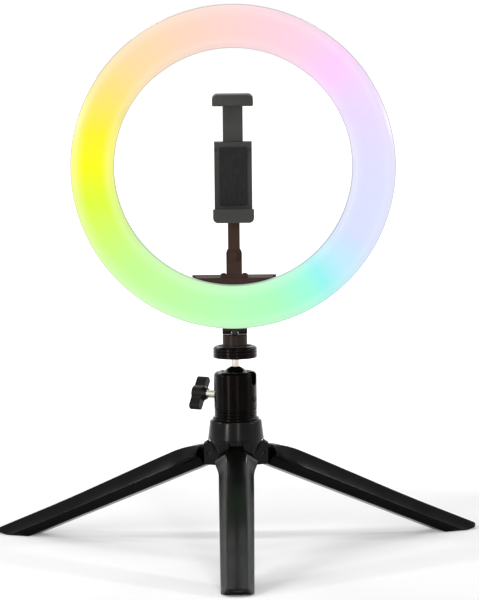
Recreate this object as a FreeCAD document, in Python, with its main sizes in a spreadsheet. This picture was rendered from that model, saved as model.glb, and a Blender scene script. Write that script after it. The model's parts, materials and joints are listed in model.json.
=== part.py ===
"""Ring light on a mini tripod, with a ball head and a phone clamp.

Millimetres, +Z up, the lamp faces -Y. The origin is on the floor under the hub's axis.
Every size is a cell of the sheet "dims"; every sketch, pad and placement is bound to those cells.
"""
import FreeCAD, Part

import os
import re

import Sketcher

Vector = FreeCAD.Vector
doc = FreeCAD.newDocument("ring_light")
dims = doc.addObject("Spreadsheet::Sheet", "dims")

SIZES = [
    # the stand
    ("pivot_radius", 17.0),
    ("pivot_height", 80.0),
    ("sole_drop", 4.956),
    ("leg_length", 222.0),
    ("leg_top", 13.6),
    ("leg_bottom", 6.6),
    ("foot_top", 9.8),
    ("root_start", 11.2),
    ("root_half", 16.6),
    ("root_sink", 3.0),
    ("shoulder_at", 15.0),
    ("shoulder_sink", 2.4),
    ("shoulder_half", 17.3),
    ("flank_at", 34.0),
    ("flank_half", 14.4),
    ("waist_at", 150.0),
    ("waist_top", 10.1),
    ("waist_half", 13.5),
    ("foot_half", 12.85),
    ("crest_half", 8.7),
    ("keel_share", 0.8),
    ("bevel_share", 0.6),
    ("sole_share", 0.6),
    ("tongue_wide", 10.8),
    ("tongue_round", 7.6),
    ("tongue_gap", 0.55),
    ("tongue_under", 0.65),
    ("tongue_sunk", 4.0),
    ("pin_radius", 2.0),
    ("pin_fit", 0.05),
    ("pin_inset", 0.5),
    ("pad_thick", 2.5),
    ("pad_long", 12.0),
    ("tip_turn", 11.4),
    ("tip_thick", 3.2),
    ("pad_margin", 1.5),
    ("pad_inset", 2.6),
    ("lobe_reach", 22.0),
    ("lobe_half", 13.6),
    ("spider_drop", 9.0),
    ("lobe_rise", 8.0),
    ("spider_core", 15.0),
    ("funnel_rise", 5.0),
    ("slot_inner", 9.0),
    ("spigot_radius", 17.0),
    ("spigot_rise", 5.5),
    ("collar_rise", 11.8),
    ("collar_tall", 15.3),
    ("collar_low_radius", 22.6),
    ("collar_high_radius", 20.85),
    ("edge_break", 0.8),
    ("seat_gap", 0.2),
    ("plug_radius", 8.0),
    ("plug_thick", 3.0),
    ("stud_radius", 3.175),
    ("stud_head_radius", 4.8),
    ("stud_head_tall", 5.0),
    ("stud_fit", 0.1),
    ("press_gap", 0.02),
    ("cut_past", 1.0),
    # the ball head
    ("flange_radius", 18.75),
    ("flange_thick", 2.3),
    ("base_radius", 17.15),
    ("base_tall", 7.1),
    ("base_groove", 0.6),
    ("groove_low", 0.3),
    ("groove_high", 0.65),
    ("washer_thick", 0.7),
    ("head_yaw", 28.0),
    ("head_tall", 29.1),
    ("head_radius", 17.3),
    ("head_crown", 3.3),
    ("neck_spigot_rise", 4.0),
    ("ball_sink", 7.0),
    ("ball_radius", 11.6),
    ("ball_fit", 0.1),
    ("notch_half", 3.7),
    ("mouth_radius", 10.9),
    ("seat_sink", 6.3),
    ("knob_sink", 19.3),
    ("shaft_radius", 3.45),
    ("shaft_fit", 0.1),
    ("shaft_end", 32.0),
    ("wing_start", 28.4),
    ("wing_cone", 3.0),
    ("wing_deep", 9.0),
    ("wing_half", 14.5),
    ("wing_thick", 7.0),
    ("wing_boss", 6.2),
    ("wing_angle", 35.0),
    ("screw_drop", 2.3),
    ("bolt_radius", 2.3),
    ("bolt_proud", 0.8),
    ("stem_start", 4.7),
    ("stem_proud", 6.1),
    ("disc_lift", 11.3),
    ("disc_tall", 9.3),
    ("disc_radius", 17.75),
    ("disc_bevel", 1.6),
    ("disc_pad_radius", 13.5),
    ("disc_pad_thick", 1.2),
    # the lamp's mount
    ("post_radius", 10.0),
    ("post_tall", 9.2),
    ("insert_radius", 5.5),
    ("tilt_rise", 3.3),
    ("tilt_round", 3.0),
    ("tilt_tongue_half", 2.5),
    ("tilt_gap", 0.2),
    ("tilt_pin_radius", 1.25),
    # the lamp
    ("ring_lift", 2.6),
    ("ring_radius", 130.0),
    ("band_wide", 35.0),
    ("lamp_front", 16.5),
    ("split_front", 6.0),
    ("lamp_back", 7.0),
    ("draft", 2.0),
    ("shell", 2.0),
    ("crown_in", 4.0),
    ("crown_drop", 3.0),
    ("board_thick", 1.6),
    ("board_edge", 4.4),
    ("chip_half", 2.5),
    ("chip_tall", 1.6),
    ("chip_row_inset", 9.5),
    ("chip_count", 30),
    ("boss_radius", 3.2),
    ("boss_fit", 0.2),
    ("screw_radius", 1.2),
    ("screw_head", 2.6),
    ("screw_count", 6),
    ("screw_long", 8.0),
    ("film_thick", 0.5),
    ("film_gap", 0.3),
    ("film_lean", 3.0),
    # the bridge that carries the arm
    ("bridge_half", 33.8),
    ("bridge_reach", 5.5),
    ("bridge_inset", 6.0),
    ("bridge_foot_half", 20.0),
    ("waist_out", 9.0),
    ("bridge_back", 19.0),
    ("ledge_front", 7.5),
    ("ledge_fit", 0.3),
    ("cover_thick", 2.0),
    ("pcb_thick", 1.6),
    ("pcb_half", 23.0),
    ("pcb_edge", 3.0),
    ("pcb_tall", 19.0),
    ("component", 4.5),
    ("component_wide", 3.6),
    ("post_inset", 4.2),
    ("post_boss", 2.6),
    ("cover_screw_long", 6.0),
    ("gland_radius", 3.6),
    ("gland_flange", 5.4),
    ("gland_bore", 2.2),
    ("gland_proud", 5.0),
    ("gland_inset", 14.0),
    # the phone arm
    ("arm_half", 6.3),
    ("arm_thick", 5.0),
    ("foot_flange", 2.4),
    ("arm_foot_half", 11.0),
    ("arm_screw", 1.0),
    ("arm_screw_side", 8.5),
    ("arm_screw_long", 3.5),
    ("lower_arm_long", 18.8),
    ("arm_pin_radius", 2.0),
    ("arm_pin_head", 3.2),
    ("upper_half", 4.75),
    ("upper_thick", 5.0),
    ("lap_gap", 0.2),
    ("clamp_rise", 9.7),
    ("fork_half", 6.0),
    ("fork_round", 5.0),
    ("knuckle_less", 1.0),
    ("fork_bridge_cut", 1.0),
    ("knuckle_half", 2.6),
    ("knuckle_pin_radius", 1.5),
    ("knuckle_disc", 6.5),
    ("knuckle_disc_thick", 2.4),
    ("knuckle_neck", 3.8),
    # the phone clamp
    ("clamp_back_face", 19.5),
    ("swivel_radius", 9.0),
    ("swivel_long", 5.0),
    ("clamp_half", 15.0),
    ("clamp_below", 48.5),
    ("clamp_above", 11.5),
    ("clamp_deep", 8.5),
    ("clamp_wall", 2.0),
    ("front_cover_thick", 2.2),
    ("phone_pad_thick", 1.5),
    ("jaw_half", 16.3),
    ("low_jaw_drop", 3.3),
    ("low_jaw_rise", 7.6),
    ("jaw_opening", 29.4),
    ("high_jaw_tall", 9.0),
    ("jaw_reach", 22.0),
    ("jaw_pad_thick", 1.5),
    ("jaw_round", 4.0),
    ("lip_tall", 2.2),
    ("lip_thick", 2.5),
    ("small_screw", 0.8),
    ("slide_half", 8.0),
    ("slide_thick", 3.0),
    ("slide_engaged", 24.0),
    ("crossbar_tall", 3.0),
    ("slide_fit", 0.3),
    ("spring_offset", 10.6),
    ("spring_radius", 1.4),
    ("spring_wire", 0.25),
    ("spring_turns", 9),
]
# Places that follow from the sizes, so that the pieces keep together when one size changes.
WORKED_OUT = {
    "leg_slope": "asin((pivot_height + sole_drop) / leg_length)",
    "spider_bottom": "pivot_height - spider_drop",
    "lobe_top": "pivot_height + lobe_rise",
    "collar_bottom": "pivot_height + collar_rise",
    "collar_top": "collar_bottom + collar_tall",
    "head_top": "collar_top + flange_thick + base_tall + washer_thick + head_tall",
    "ball_height": "head_top - ball_sink",
    "seat_top": "ball_height - seat_sink",
    "knob_height": "head_top - knob_sink",
    "screw_height": "knob_height - screw_drop",
    "stem_bottom": "ball_height + stem_start",
    "disc_bottom": "head_top + disc_lift",
    "disc_top": "disc_bottom + disc_tall",
    "stem_top": "disc_top + stem_proud",
    "post_top": "disc_top + post_tall",
    "tilt_height": "post_top + tilt_rise",
    "ring_height": "tilt_height + ring_radius + ring_lift",
    "hole_radius": "ring_radius - band_wide",
    "chip_row_in": "hole_radius + chip_row_inset",
    "chip_row_out": "ring_radius - chip_row_inset",
    "boss_circle": "(hole_radius + ring_radius) / 2",
    "bridge_top": "hole_radius - bridge_reach",
    "bridge_low": "ring_radius - bridge_inset",
    "bridge_waist": "hole_radius + waist_out",
    "gland_drop": "ring_radius - gland_inset",
    "arm_pin_height": "ring_height - bridge_top + lower_arm_long",
    "clamp_height": "ring_height + clamp_rise",
    "clamp_low": "clamp_height - clamp_below",
    "clamp_high": "clamp_height + clamp_above",
    "low_jaw_bottom": "clamp_low - low_jaw_drop",
    "low_jaw_top": "clamp_low + low_jaw_rise",
    "high_jaw_bottom": "clamp_high + jaw_opening",
    "high_jaw_top": "high_jaw_bottom + high_jaw_tall",
    "slide_low": "clamp_high - slide_engaged",
}
NAMES = {name for name, _ in SIZES}
for line, (name, size) in enumerate(SIZES, start=1):
    dims.set(f"A{line}", name)
    dims.set(f"B{line}", str(size))
    dims.setAlias(f"B{line}", name)
doc.recompute()


def spelt_out(match):
    """A worked-out place becomes its own expression, and a size points at its cell."""
    word = match.group()
    if word in WORKED_OUT:
        return f"({bound(WORKED_OUT[word])})"
    return f"dims.{word}" if word in NAMES else word


def bound(text):
    """An expression of size names, in the sheet's own terms."""
    return re.sub(r"[a-z_]+", spelt_out, str(text))


def number(text):
    """What an expression of size names is worth now."""
    return float(dims.evalExpression(bound(text)))


# ---------------------------------------------------------------- how a body is drawn
PIECES = []


def new_body(label, x="0", y="0", z="0"):
    """A body with its own label, placed by expressions."""
    body = doc.addObject("PartDesign::Body", label)
    body.Label = label
    for axis, text in zip("xyz", (x, y, z)):
        body.setExpression(f"Placement.Base.{axis}", bound(text))
    PIECES.append(body)
    return body


def sketch_on(body, role, offset="0"):
    """An empty sketch on one of the body's origin planes, moved along the plane's normal."""
    sketch = body.newObject("Sketcher::SketchObject", f"sketch_of_{body.Label}")
    plane = next(f for f in body.Origin.OriginFeatures if f.Role == role)
    sketch.AttachmentSupport = (plane, [""])
    sketch.MapMode = "FlatFace"
    sketch.setExpression("AttachmentOffset.Base.z", bound(offset))
    return sketch


def pin_point(sketch, edge, end, x, y):
    """Binds one point of a sketch to two expressions."""
    for kind, text in (("DistanceX", x), ("DistanceY", y)):
        row = sketch.addConstraint(Sketcher.Constraint(kind, -1, 1, edge, end, number(text)))
        sketch.setExpression(f"Constraints[{row}]", bound(text))


def polygon(sketch, corners):
    """A closed outline whose corners are pairs of expressions."""
    first = sketch.GeometryCount
    spots = [Vector(number(x), number(y), 0) for x, y in corners]
    count = len(spots)
    for i in range(count):
        sketch.addGeometry(Part.LineSegment(spots[i], spots[(i + 1) % count]))
    for i in range(count):
        follower = first + (i + 1) % count
        sketch.addConstraint(Sketcher.Constraint("Coincident", first + i, 2, follower, 1))
    for i, (x, y) in enumerate(corners):
        pin_point(sketch, first + i, 1, x, y)


def rectangle(sketch, left, right, low, high):
    polygon(sketch, [(left, low), (right, low), (right, high), (left, high)])


def circle(sketch, x, y, radius):
    row = sketch.addGeometry(Part.Circle(Vector(number(x), number(y), 0), Vector(0, 0, 1), number(radius)))
    pin_point(sketch, row, 3, x, y)
    size = sketch.addConstraint(Sketcher.Constraint("Radius", row, number(radius)))
    sketch.setExpression(f"Constraints[{size}]", bound(radius))


def feature(body, kind, sketch):
    made = body.newObject(f"PartDesign::{kind}", f"{kind.lower()}_of_{body.Label}")
    made.Profile = sketch
    sketch.Visibility = False
    return made


def pad(body, sketch, length, reverse=False, middle=False):
    """Adds the sketch's area, along its normal unless reversed."""
    made = feature(body, "Pad", sketch)
    made.setExpression("Length", bound(length))
    made.Reversed = reverse
    made.SideType = "Symmetric" if middle else "One side"
    doc.recompute()
    return made


def pocket(body, sketch, length, reverse=False, middle=False):
    """Cuts the sketch's area away and makes sure that it took something."""
    before = body.Shape.Volume
    made = feature(body, "Pocket", sketch)
    made.setExpression("Length", bound(length))
    made.Reversed = reverse
    made.SideType = "Symmetric" if middle else "One side"
    doc.recompute()
    if not body.Shape.Volume < before:
        raise RuntimeError(f"a pocket of {body.Label} cuts nothing")
    return made


def turned(body, sketch, axis="V_Axis"):
    """A full revolution of the sketch about one of its own axes."""
    made = feature(body, "Revolution", sketch)
    made.ReferenceAxis = (sketch, [axis])
    made.Angle = 360
    doc.recompute()
    return made


def around(body, features, role, count, angle=360):
    """Copies features about one of the body's origin axes."""
    made = body.newObject("PartDesign::PolarPattern", f"pattern_of_{body.Label}")
    made.Originals = features
    axis = next(f for f in body.Origin.OriginFeatures if f.Role == role)
    made.Axis = (axis, [""])
    made.Angle = angle
    made.setExpression("Occurrences", bound(count))
    body.Tip = made
    doc.recompute()
    return made


def dressed(body, kind, chosen, size):
    """A fillet or chamfer on every edge of the body that the test chooses."""
    base = body.Tip
    edges = [f"Edge{i}" for i, edge in enumerate(base.Shape.Edges, start=1) if chosen(edge)]
    if not edges:
        raise RuntimeError(f"{body.Label} has no edge for its {kind}")
    made = body.newObject(f"PartDesign::{kind}", f"{kind.lower()}_of_{body.Label}")
    made.Base = (base, edges)
    made.setExpression("Radius" if kind == "Fillet" else "Size", bound(size))
    doc.recompute()
    return made


def on_circle(radius, axis, level):
    """Chooses the full circles of one radius at one height along an axis (0, 1 or 2)."""
    def chosen(edge):
        curve = edge.Curve
        round_edge = isinstance(curve, Part.Circle)
        return round_edge and abs(curve.Radius - number(radius)) < 0.01 and abs(
            curve.Center[axis] - number(level)) < 0.01
    return chosen


def along(axis, *levels):
    """Chooses straight edges that run along one axis; levels are (axis, place) pairs they lie on."""
    def chosen(edge):
        if not isinstance(edge.Curve, Part.Line):
            return False
        ends = [v.Point for v in edge.Vertexes]
        straight = all(abs(ends[0][i] - ends[1][i]) < 0.01 for i in range(3) if i != axis)
        return straight and all(abs(ends[0][i] - number(place)) < 0.01 for i, place in levels)
    return chosen


def cylinder(label, radius, low, high, bore=None, x="0", y="0", z="0"):
    """A turned disc or rod about Z, with an optional bore."""
    body = new_body(label, x, y, z)
    sketch = sketch_on(body, "XY_Plane", low)
    circle(sketch, "0", "0", radius)
    if bore:
        circle(sketch, "0", "0", bore)
    pad(body, sketch, f"({high}) - ({low})")
    return body


def block(label, left, right, front, back, low, high):
    """A box between named planes."""
    body = new_body(label)
    sketch = sketch_on(body, "XY_Plane", low)
    rectangle(sketch, left, right, front, back)
    pad(body, sketch, f"({high}) - ({low})")
    return body


# ---------------------------------------------------------------- the stand's hub
def hub_collar():
    """A cone-shaped cover that drops over the spider's spigot."""
    body = new_body("hub_collar")
    outline = sketch_on(body, "XZ_Plane")
    bore = "stud_radius + stud_fit"
    recess = "spigot_radius + seat_gap"
    ceiling = "collar_bottom + spigot_rise + seat_gap"
    polygon(outline, [
        (bore, "collar_top"), ("collar_high_radius - edge_break", "collar_top"),
        ("collar_high_radius", "collar_top - edge_break"), ("collar_low_radius", "collar_bottom"),
        (recess, "collar_bottom"), (recess, ceiling), (bore, ceiling)])
    turned(body, outline)


def hub_spider():
    """The casting under the collar, with a clevis for each leg."""
    body = new_body("hub_spider")
    core = sketch_on(body, "XY_Plane", "spider_bottom")
    circle(core, "0", "0", "spider_core")
    pad(body, core, "collar_bottom - spider_bottom")
    lobe = sketch_on(body, "XY_Plane", "spider_bottom")
    rectangle(lobe, "-lobe_half", "lobe_half", "-lobe_reach", "-slot_inner")
    lobes = pad(body, lobe, "lobe_top - spider_bottom")
    around(body, [lobes], "Z_Axis", 3)
    funnel = sketch_on(body, "XZ_Plane")
    polygon(funnel, [
        ("0", "spider_bottom + funnel_rise"), ("spider_core", "spider_bottom + funnel_rise"),
        ("collar_high_radius", "lobe_top"), ("collar_high_radius", "collar_bottom"), ("0", "collar_bottom")])
    turned(body, funnel)
    spigot = sketch_on(body, "XY_Plane", "collar_bottom")
    circle(spigot, "0", "0", "spigot_radius")
    pad(body, spigot, "spigot_rise")
    slot = sketch_on(body, "XY_Plane", "spider_bottom")
    half = "(tongue_wide / 2 + tongue_gap)"
    rectangle(slot, f"-{half}", half, "-lobe_reach - cut_past", "-slot_inner")
    slots = pocket(body, slot, "lobe_top - spider_bottom", reverse=True)
    around(body, [slots], "Z_Axis", 3)
    pin_hole = sketch_on(body, "YZ_Plane")
    circle(pin_hole, "-pivot_radius", "pivot_height", "pin_radius")
    holes = pocket(body, pin_hole, "2 * lobe_half + cut_past", middle=True)
    around(body, [holes], "Z_Axis", 3)
    bore = sketch_on(body, "XY_Plane", "spider_bottom")
    circle(bore, "0", "0", "stud_radius + stud_fit")
    pocket(body, bore, "collar_top - spider_bottom", reverse=True)
    counterbore = sketch_on(body, "XY_Plane", "spider_bottom")
    circle(counterbore, "0", "0", "stud_head_radius + seat_gap")
    pocket(body, counterbore, "stud_head_tall + plug_thick", reverse=True)


def hub_plug():
    """The round cover that closes the spider's bottom over the stud's head."""
    top = "spider_bottom + plug_thick - stud_fit"
    body = cylinder("hub_plug", "stud_head_radius + stud_fit", "spider_bottom", top)
    flange = sketch_on(body, "XY_Plane", "spider_bottom")
    circle(flange, "0", "0", "plug_radius")
    pad(body, flange, "edge_break * 2", reverse=True)


def tripod_stud():
    """The screw that holds spider, collar, flange and head base together."""
    shoulder = "spider_bottom + plug_thick + stud_head_tall"
    body = cylinder("tripod_stud", "stud_head_radius", "spider_bottom + plug_thick", shoulder)
    shank = sketch_on(body, "XY_Plane", shoulder)
    circle(shank, "0", "0", "stud_radius")
    pad(body, shank, f"collar_top + flange_thick + base_tall - ({shoulder})")
    socket = sketch_on(body, "XY_Plane", "spider_bottom + plug_thick")
    circle(socket, "0", "0", "stud_head_radius / 2")
    pocket(body, socket, "stud_head_tall / 2", reverse=True)


def leg_pins():
    """Three pins, one through each clevis of the spider."""
    body = new_body("leg_pins")
    outline = sketch_on(body, "YZ_Plane")
    circle(outline, "-pivot_radius", "pivot_height", "pin_radius")
    pin = pad(body, outline, "2 * (lobe_half - pin_inset)", middle=True)
    around(body, [pin], "Z_Axis", 3)


# ---------------------------------------------------------------- the legs
# A leg is drawn along its own +X from the pivot, its top side up, then sloped and turned into place.
LEGS = (("front", -90), ("right", 30), ("left", 150))


def new_leg_body(label, azimuth):
    """A body at a leg's pivot, sloped about it and turned to its side of the hub."""
    body = new_body(
        label, f"pivot_radius * cos({azimuth})", f"pivot_radius * sin({azimuth})", "pivot_height")
    slope = FreeCAD.Rotation(Vector(0, 1, 0), number("leg_slope"))
    body.Placement.Rotation = FreeCAD.Rotation(Vector(0, 0, 1), azimuth).multiply(slope)
    return body


def leg_section(body, at, crest, half, top, keel, bottom):
    """One hexagonal section of the leg: a flat crest, bevelled flanks, and a narrower keel."""
    section = sketch_on(body, "YZ_Plane", at)
    flank = f"({top}) - bevel_share * (({top}) + ({bottom}))"
    polygon(section, [
        (f"-({crest})", top), (crest, top), (half, flank), (keel, f"-({bottom})"),
        (f"-({keel})", f"-({bottom})"), (f"-({half})", flank)])
    return section


def loft(body, sections):
    made = body.newObject("PartDesign::AdditiveLoft", f"loft_of_{body.Label}")
    made.Profile = sections[0]
    made.Sections = sections[1:]
    made.Ruled = True
    doc.recompute()
    return made


def leg(side, azimuth):
    body = new_leg_body(f"leg_{side}", azimuth)
    root = leg_section(
        body, "root_start", "crest_half * keel_share", "root_half", "leg_top - root_sink",
        "foot_half * keel_share", "leg_bottom")
    shoulder = leg_section(
        body, "shoulder_at", "crest_half", "shoulder_half", "leg_top - shoulder_sink",
        "flank_half * keel_share", "leg_bottom")
    flank = leg_section(
        body, "flank_at", "crest_half", "flank_half", "leg_top", "flank_half * keel_share", "leg_bottom")
    waist = leg_section(
        body, "waist_at", "crest_half", "waist_half", "waist_top", "waist_half * keel_share", "leg_bottom")
    foot = leg_section(
        body, "leg_length", "crest_half", "foot_half", "foot_top", "foot_half * keel_share", "leg_bottom")
    loft(body, [root, shoulder, flank, waist, foot])
    tongue = sketch_on(body, "XZ_Plane")
    under = "-tongue_round * tongue_under"
    rectangle(tongue, "0", "root_start + tongue_sunk", under, "tongue_round")
    pad(body, tongue, "tongue_wide", middle=True)
    knuckle = sketch_on(body, "XZ_Plane")
    circle(knuckle, "0", "0", "tongue_round")
    pad(body, knuckle, "tongue_wide", middle=True)
    hole = sketch_on(body, "XZ_Plane")
    circle(hole, "0", "0", "pin_radius + pin_fit")
    pocket(body, hole, "tongue_wide * 2", middle=True)
    # the sole is level with the floor, and the tip turns up from it
    turn = "(leg_length - tip_turn)"
    reach = "(leg_length + 2 * cut_past)"
    start = "(leg_length * sole_share)"
    sole = sketch_on(body, "XZ_Plane")
    polygon(sole, [
        (start, floor_at(start)), (turn, floor_at(turn)), (reach, "foot_top - tip_thick + cut_past"),
        (reach, "-leg_length"), (start, "-leg_length")])
    pocket(body, sole, "foot_half * 4", middle=True)
    # the rubber foot's recess, open at the sole
    recess = sketch_on(body, "XZ_Plane")
    polygon(recess, pad_outline())
    pocket(body, recess, "2 * (foot_half * keel_share - pad_inset)", middle=True)


def floor_at(x):
    """How high the floor lies at a place along the sloped leg, in the leg's own axes."""
    return f"(({x}) * tan(leg_slope) - pivot_height / cos(leg_slope))"


def pad_outline():
    """The rubber foot's side view in the leg's own axes: a slab on the floor line."""
    end = "(leg_length - tip_turn - pad_margin)"
    start = f"({end} - pad_long)"
    lift = "pad_thick / cos(leg_slope)"
    return [
        (start, floor_at(start)), (end, floor_at(end)),
        (end, f"{floor_at(end)} + {lift}"), (start, f"{floor_at(start)} + {lift}")]


def rubber_foot(side, azimuth):
    body = new_leg_body(f"rubber_foot_{side}", azimuth)
    outline = sketch_on(body, "XZ_Plane")
    polygon(outline, pad_outline())
    pad(body, outline, "2 * (foot_half * keel_share - pad_inset)", middle=True)


hub_collar()
hub_spider()
hub_plug()
tripod_stud()
leg_pins()
for side, azimuth in LEGS:
    leg(side, azimuth)
    rubber_foot(side, azimuth)

# ---------------------------------------------------------------- the ball head
BASE_BOTTOM = "(collar_top + flange_thick)"
BASE_TOP = f"({BASE_BOTTOM} + base_tall)"
HEAD_BOTTOM = f"({BASE_TOP} + washer_thick)"
SOCKET = "(ball_radius + ball_fit)"


def swivel_flange():
    """The thin plate between the collar and the head's base."""
    cylinder("swivel_flange", "flange_radius", "collar_top", BASE_BOTTOM, "stud_radius + stud_fit")


def head_base():
    """The fixed base ring, with two grip grooves and the spigot that the head turns on."""
    body = new_body("head_base")
    outline = sketch_on(body, "XZ_Plane")
    inner = "base_radius - base_groove"
    corners = [("base_radius", BASE_BOTTOM)]
    for step in ("base_tall * groove_low", "base_tall * groove_high"):
        low = f"{BASE_BOTTOM} + {step}"
        high = f"{low} + base_groove"
        corners += [("base_radius", low), (inner, low), (inner, high), ("base_radius", high)]
    corners += [
        ("base_radius", BASE_TOP), ("ball_radius", BASE_TOP),
        ("ball_radius", f"{HEAD_BOTTOM} + neck_spigot_rise"),
        ("0", f"{HEAD_BOTTOM} + neck_spigot_rise"), ("0", BASE_BOTTOM)]
    polygon(outline, corners)
    turned(body, outline)
    bore = sketch_on(body, "XY_Plane", BASE_BOTTOM)
    circle(bore, "0", "0", "stud_radius + press_gap")
    pocket(body, bore, "base_tall + press_gap", reverse=True)


def slip_washer():
    """The thin plastic washer that the head turns on."""
    outside = "base_radius - base_groove * 2"
    cylinder("slip_washer", outside, BASE_TOP, HEAD_BOTTOM, "ball_radius + seat_gap")


def head_piece(label, roll="0", z="0"):
    """A body that is drawn with the drop notch towards +X and turned with the head."""
    body = new_body(label, z=z)
    yaw = FreeCAD.Rotation(Vector(0, 0, 1), -number("head_yaw"))
    body.Placement.Rotation = yaw.multiply(FreeCAD.Rotation(Vector(1, 0, 0), number(roll)))
    return body


def head_body():
    """The barrel that holds the ball, with its mouth, drop notch and clamping bore."""
    body = head_piece("head_body")
    outline = sketch_on(body, "XZ_Plane")
    polygon(outline, [
        (SOCKET, HEAD_BOTTOM), ("head_radius", HEAD_BOTTOM), ("head_radius", "head_top"),
        ("mouth_radius", "head_top"), ("mouth_radius", "ball_height"), (SOCKET, "ball_height")])
    turned(body, outline)
    dressed(body, "Fillet", on_circle("head_radius", 2, "head_top"), "head_crown")
    dressed(body, "Chamfer", on_circle("mouth_radius", 2, "head_top"), "edge_break")
    hollow = body.newObject("PartDesign::SubtractiveSphere", "head_socket")
    hollow.setExpression("Radius", bound(SOCKET))
    hollow.AttachmentSupport = (next(f for f in body.Origin.OriginFeatures if f.Role == "XY_Plane"), [""])
    hollow.MapMode = "FlatFace"
    hollow.setExpression("AttachmentOffset.Base.z", bound("ball_height"))
    doc.recompute()
    notch = sketch_on(body, "YZ_Plane")
    rectangle(notch, "-notch_half", "notch_half", "ball_height", "head_top + cut_past")
    pocket(body, notch, "head_radius * 2", reverse=True)
    round_end = sketch_on(body, "YZ_Plane")
    circle(round_end, "0", "ball_height", "notch_half")
    pocket(body, round_end, "head_radius * 2", reverse=True)
    shaft_hole = sketch_on(body, "YZ_Plane")
    circle(shaft_hole, "0", "knob_height", "shaft_radius + shaft_fit")
    pocket(body, shaft_hole, "head_radius * 2")
    screw_hole = sketch_on(body, "YZ_Plane")
    circle(screw_hole, "0", "screw_height", "bolt_radius + press_gap")
    pocket(body, screw_hole, "head_radius * 2", reverse=True)


def ball_seat():
    """The nylon cup that presses on the ball from below."""
    body = head_piece("ball_seat")
    outline = sketch_on(body, "XY_Plane", f"{HEAD_BOTTOM} + neck_spigot_rise + seat_gap")
    circle(outline, "0", "0", "ball_radius")
    pad(body, outline, f"seat_top - ({HEAD_BOTTOM} + neck_spigot_rise + seat_gap)")
    dish = body.newObject("PartDesign::SubtractiveSphere", "seat_dish")
    dish.setExpression("Radius", bound(SOCKET))
    dish.AttachmentSupport = (next(f for f in body.Origin.OriginFeatures if f.Role == "XY_Plane"), [""])
    dish.MapMode = "FlatFace"
    dish.setExpression("AttachmentOffset.Base.z", bound("ball_height"))
    doc.recompute()


def seat_screw():
    """The bright screw end, opposite the knob, that keeps the seat from turning."""
    body = head_piece("seat_screw")
    outline = sketch_on(body, "YZ_Plane", "ball_radius + seat_gap")
    circle(outline, "0", "screw_height", "bolt_radius")
    pad(body, outline, "head_radius + bolt_proud - ball_radius - seat_gap")


def knob_shaft():
    """The clamping screw's steel shaft, out through the barrel's wall to the knob."""
    body = head_piece("knob_shaft", "-wing_angle", "knob_height")
    outline = sketch_on(body, "YZ_Plane", "-(ball_radius + seat_gap * 2)")
    circle(outline, "0", "0", "shaft_radius")
    pad(body, outline, "shaft_end - ball_radius", reverse=True)


def wing_knob():
    """The moulded wing and its boss, pressed on the shaft."""
    body = head_piece("wing_knob", "-wing_angle", "knob_height")
    boss = sketch_on(body, "XY_Plane")
    polygon(boss, [
        ("-(wing_start - wing_cone)", "0"), ("-(wing_start - wing_cone)", "shaft_radius + edge_break"),
        ("-wing_start", "wing_boss"), ("-(wing_start + wing_deep)", "wing_boss"),
        ("-(wing_start + wing_deep)", "0")])
    turned(body, boss, "H_Axis")
    wing = sketch_on(body, "YZ_Plane", "-wing_start")
    rectangle(wing, "-wing_thick / 2", "wing_thick / 2", "-wing_half", "wing_half")
    pad(body, wing, "wing_deep", reverse=True)
    ends = along(0, (1, "-wing_thick / 2")), along(0, (1, "wing_thick / 2"))
    dressed(body, "Fillet", lambda edge: any(test(edge) for test in ends)
            and abs(abs(edge.Vertexes[0].Z) - number("wing_half")) < 0.01, "wing_thick * 0.4")
    bore = sketch_on(body, "YZ_Plane")
    circle(bore, "0", "0", "shaft_radius + press_gap")
    pocket(body, bore, "shaft_end + seat_gap * 2 + press_gap")


def ball():
    """The ball, bored for its stem."""
    body = head_piece("ball")
    round_part = body.newObject("PartDesign::AdditiveSphere", "ball_sphere")
    round_part.setExpression("Radius", bound("ball_radius"))
    floor_plane = next(f for f in body.Origin.OriginFeatures if f.Role == "XY_Plane")
    round_part.AttachmentSupport = (floor_plane, [""])
    round_part.MapMode = "FlatFace"
    round_part.setExpression("AttachmentOffset.Base.z", bound("ball_height"))
    doc.recompute()
    bore = sketch_on(body, "XY_Plane", "stem_bottom")
    circle(bore, "0", "0", "stud_radius + press_gap")
    pocket(body, bore, "ball_radius", reverse=True)


def lock_disc():
    """The round lock nut under the lamp, with a rubber face let into its top."""
    body = new_body("lock_disc")
    outline = sketch_on(body, "XZ_Plane")
    bore = "stud_radius + stud_fit"
    polygon(outline, [
        (bore, "disc_bottom"), ("disc_radius", "disc_bottom"), ("disc_radius", "disc_top - disc_bevel"),
        ("disc_radius - disc_bevel", "disc_top"), ("disc_pad_radius", "disc_top"),
        ("disc_pad_radius", "disc_top - disc_pad_thick"), (bore, "disc_top - disc_pad_thick")])
    turned(body, outline)


swivel_flange()
head_base()
slip_washer()
head_body()
ball_seat()
seat_screw()
knob_shaft()
wing_knob()
ball()
cylinder("ball_stem", "stud_radius", "stem_bottom", "stem_top")
lock_disc()
cylinder("disc_pad", "disc_pad_radius - press_gap", "disc_top - disc_pad_thick", "disc_top",
         "stud_radius + seat_gap")

# ---------------------------------------------------------------- the lamp's mount
POST_BOTTOM = "(disc_top + seat_gap / 2)"


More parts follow.
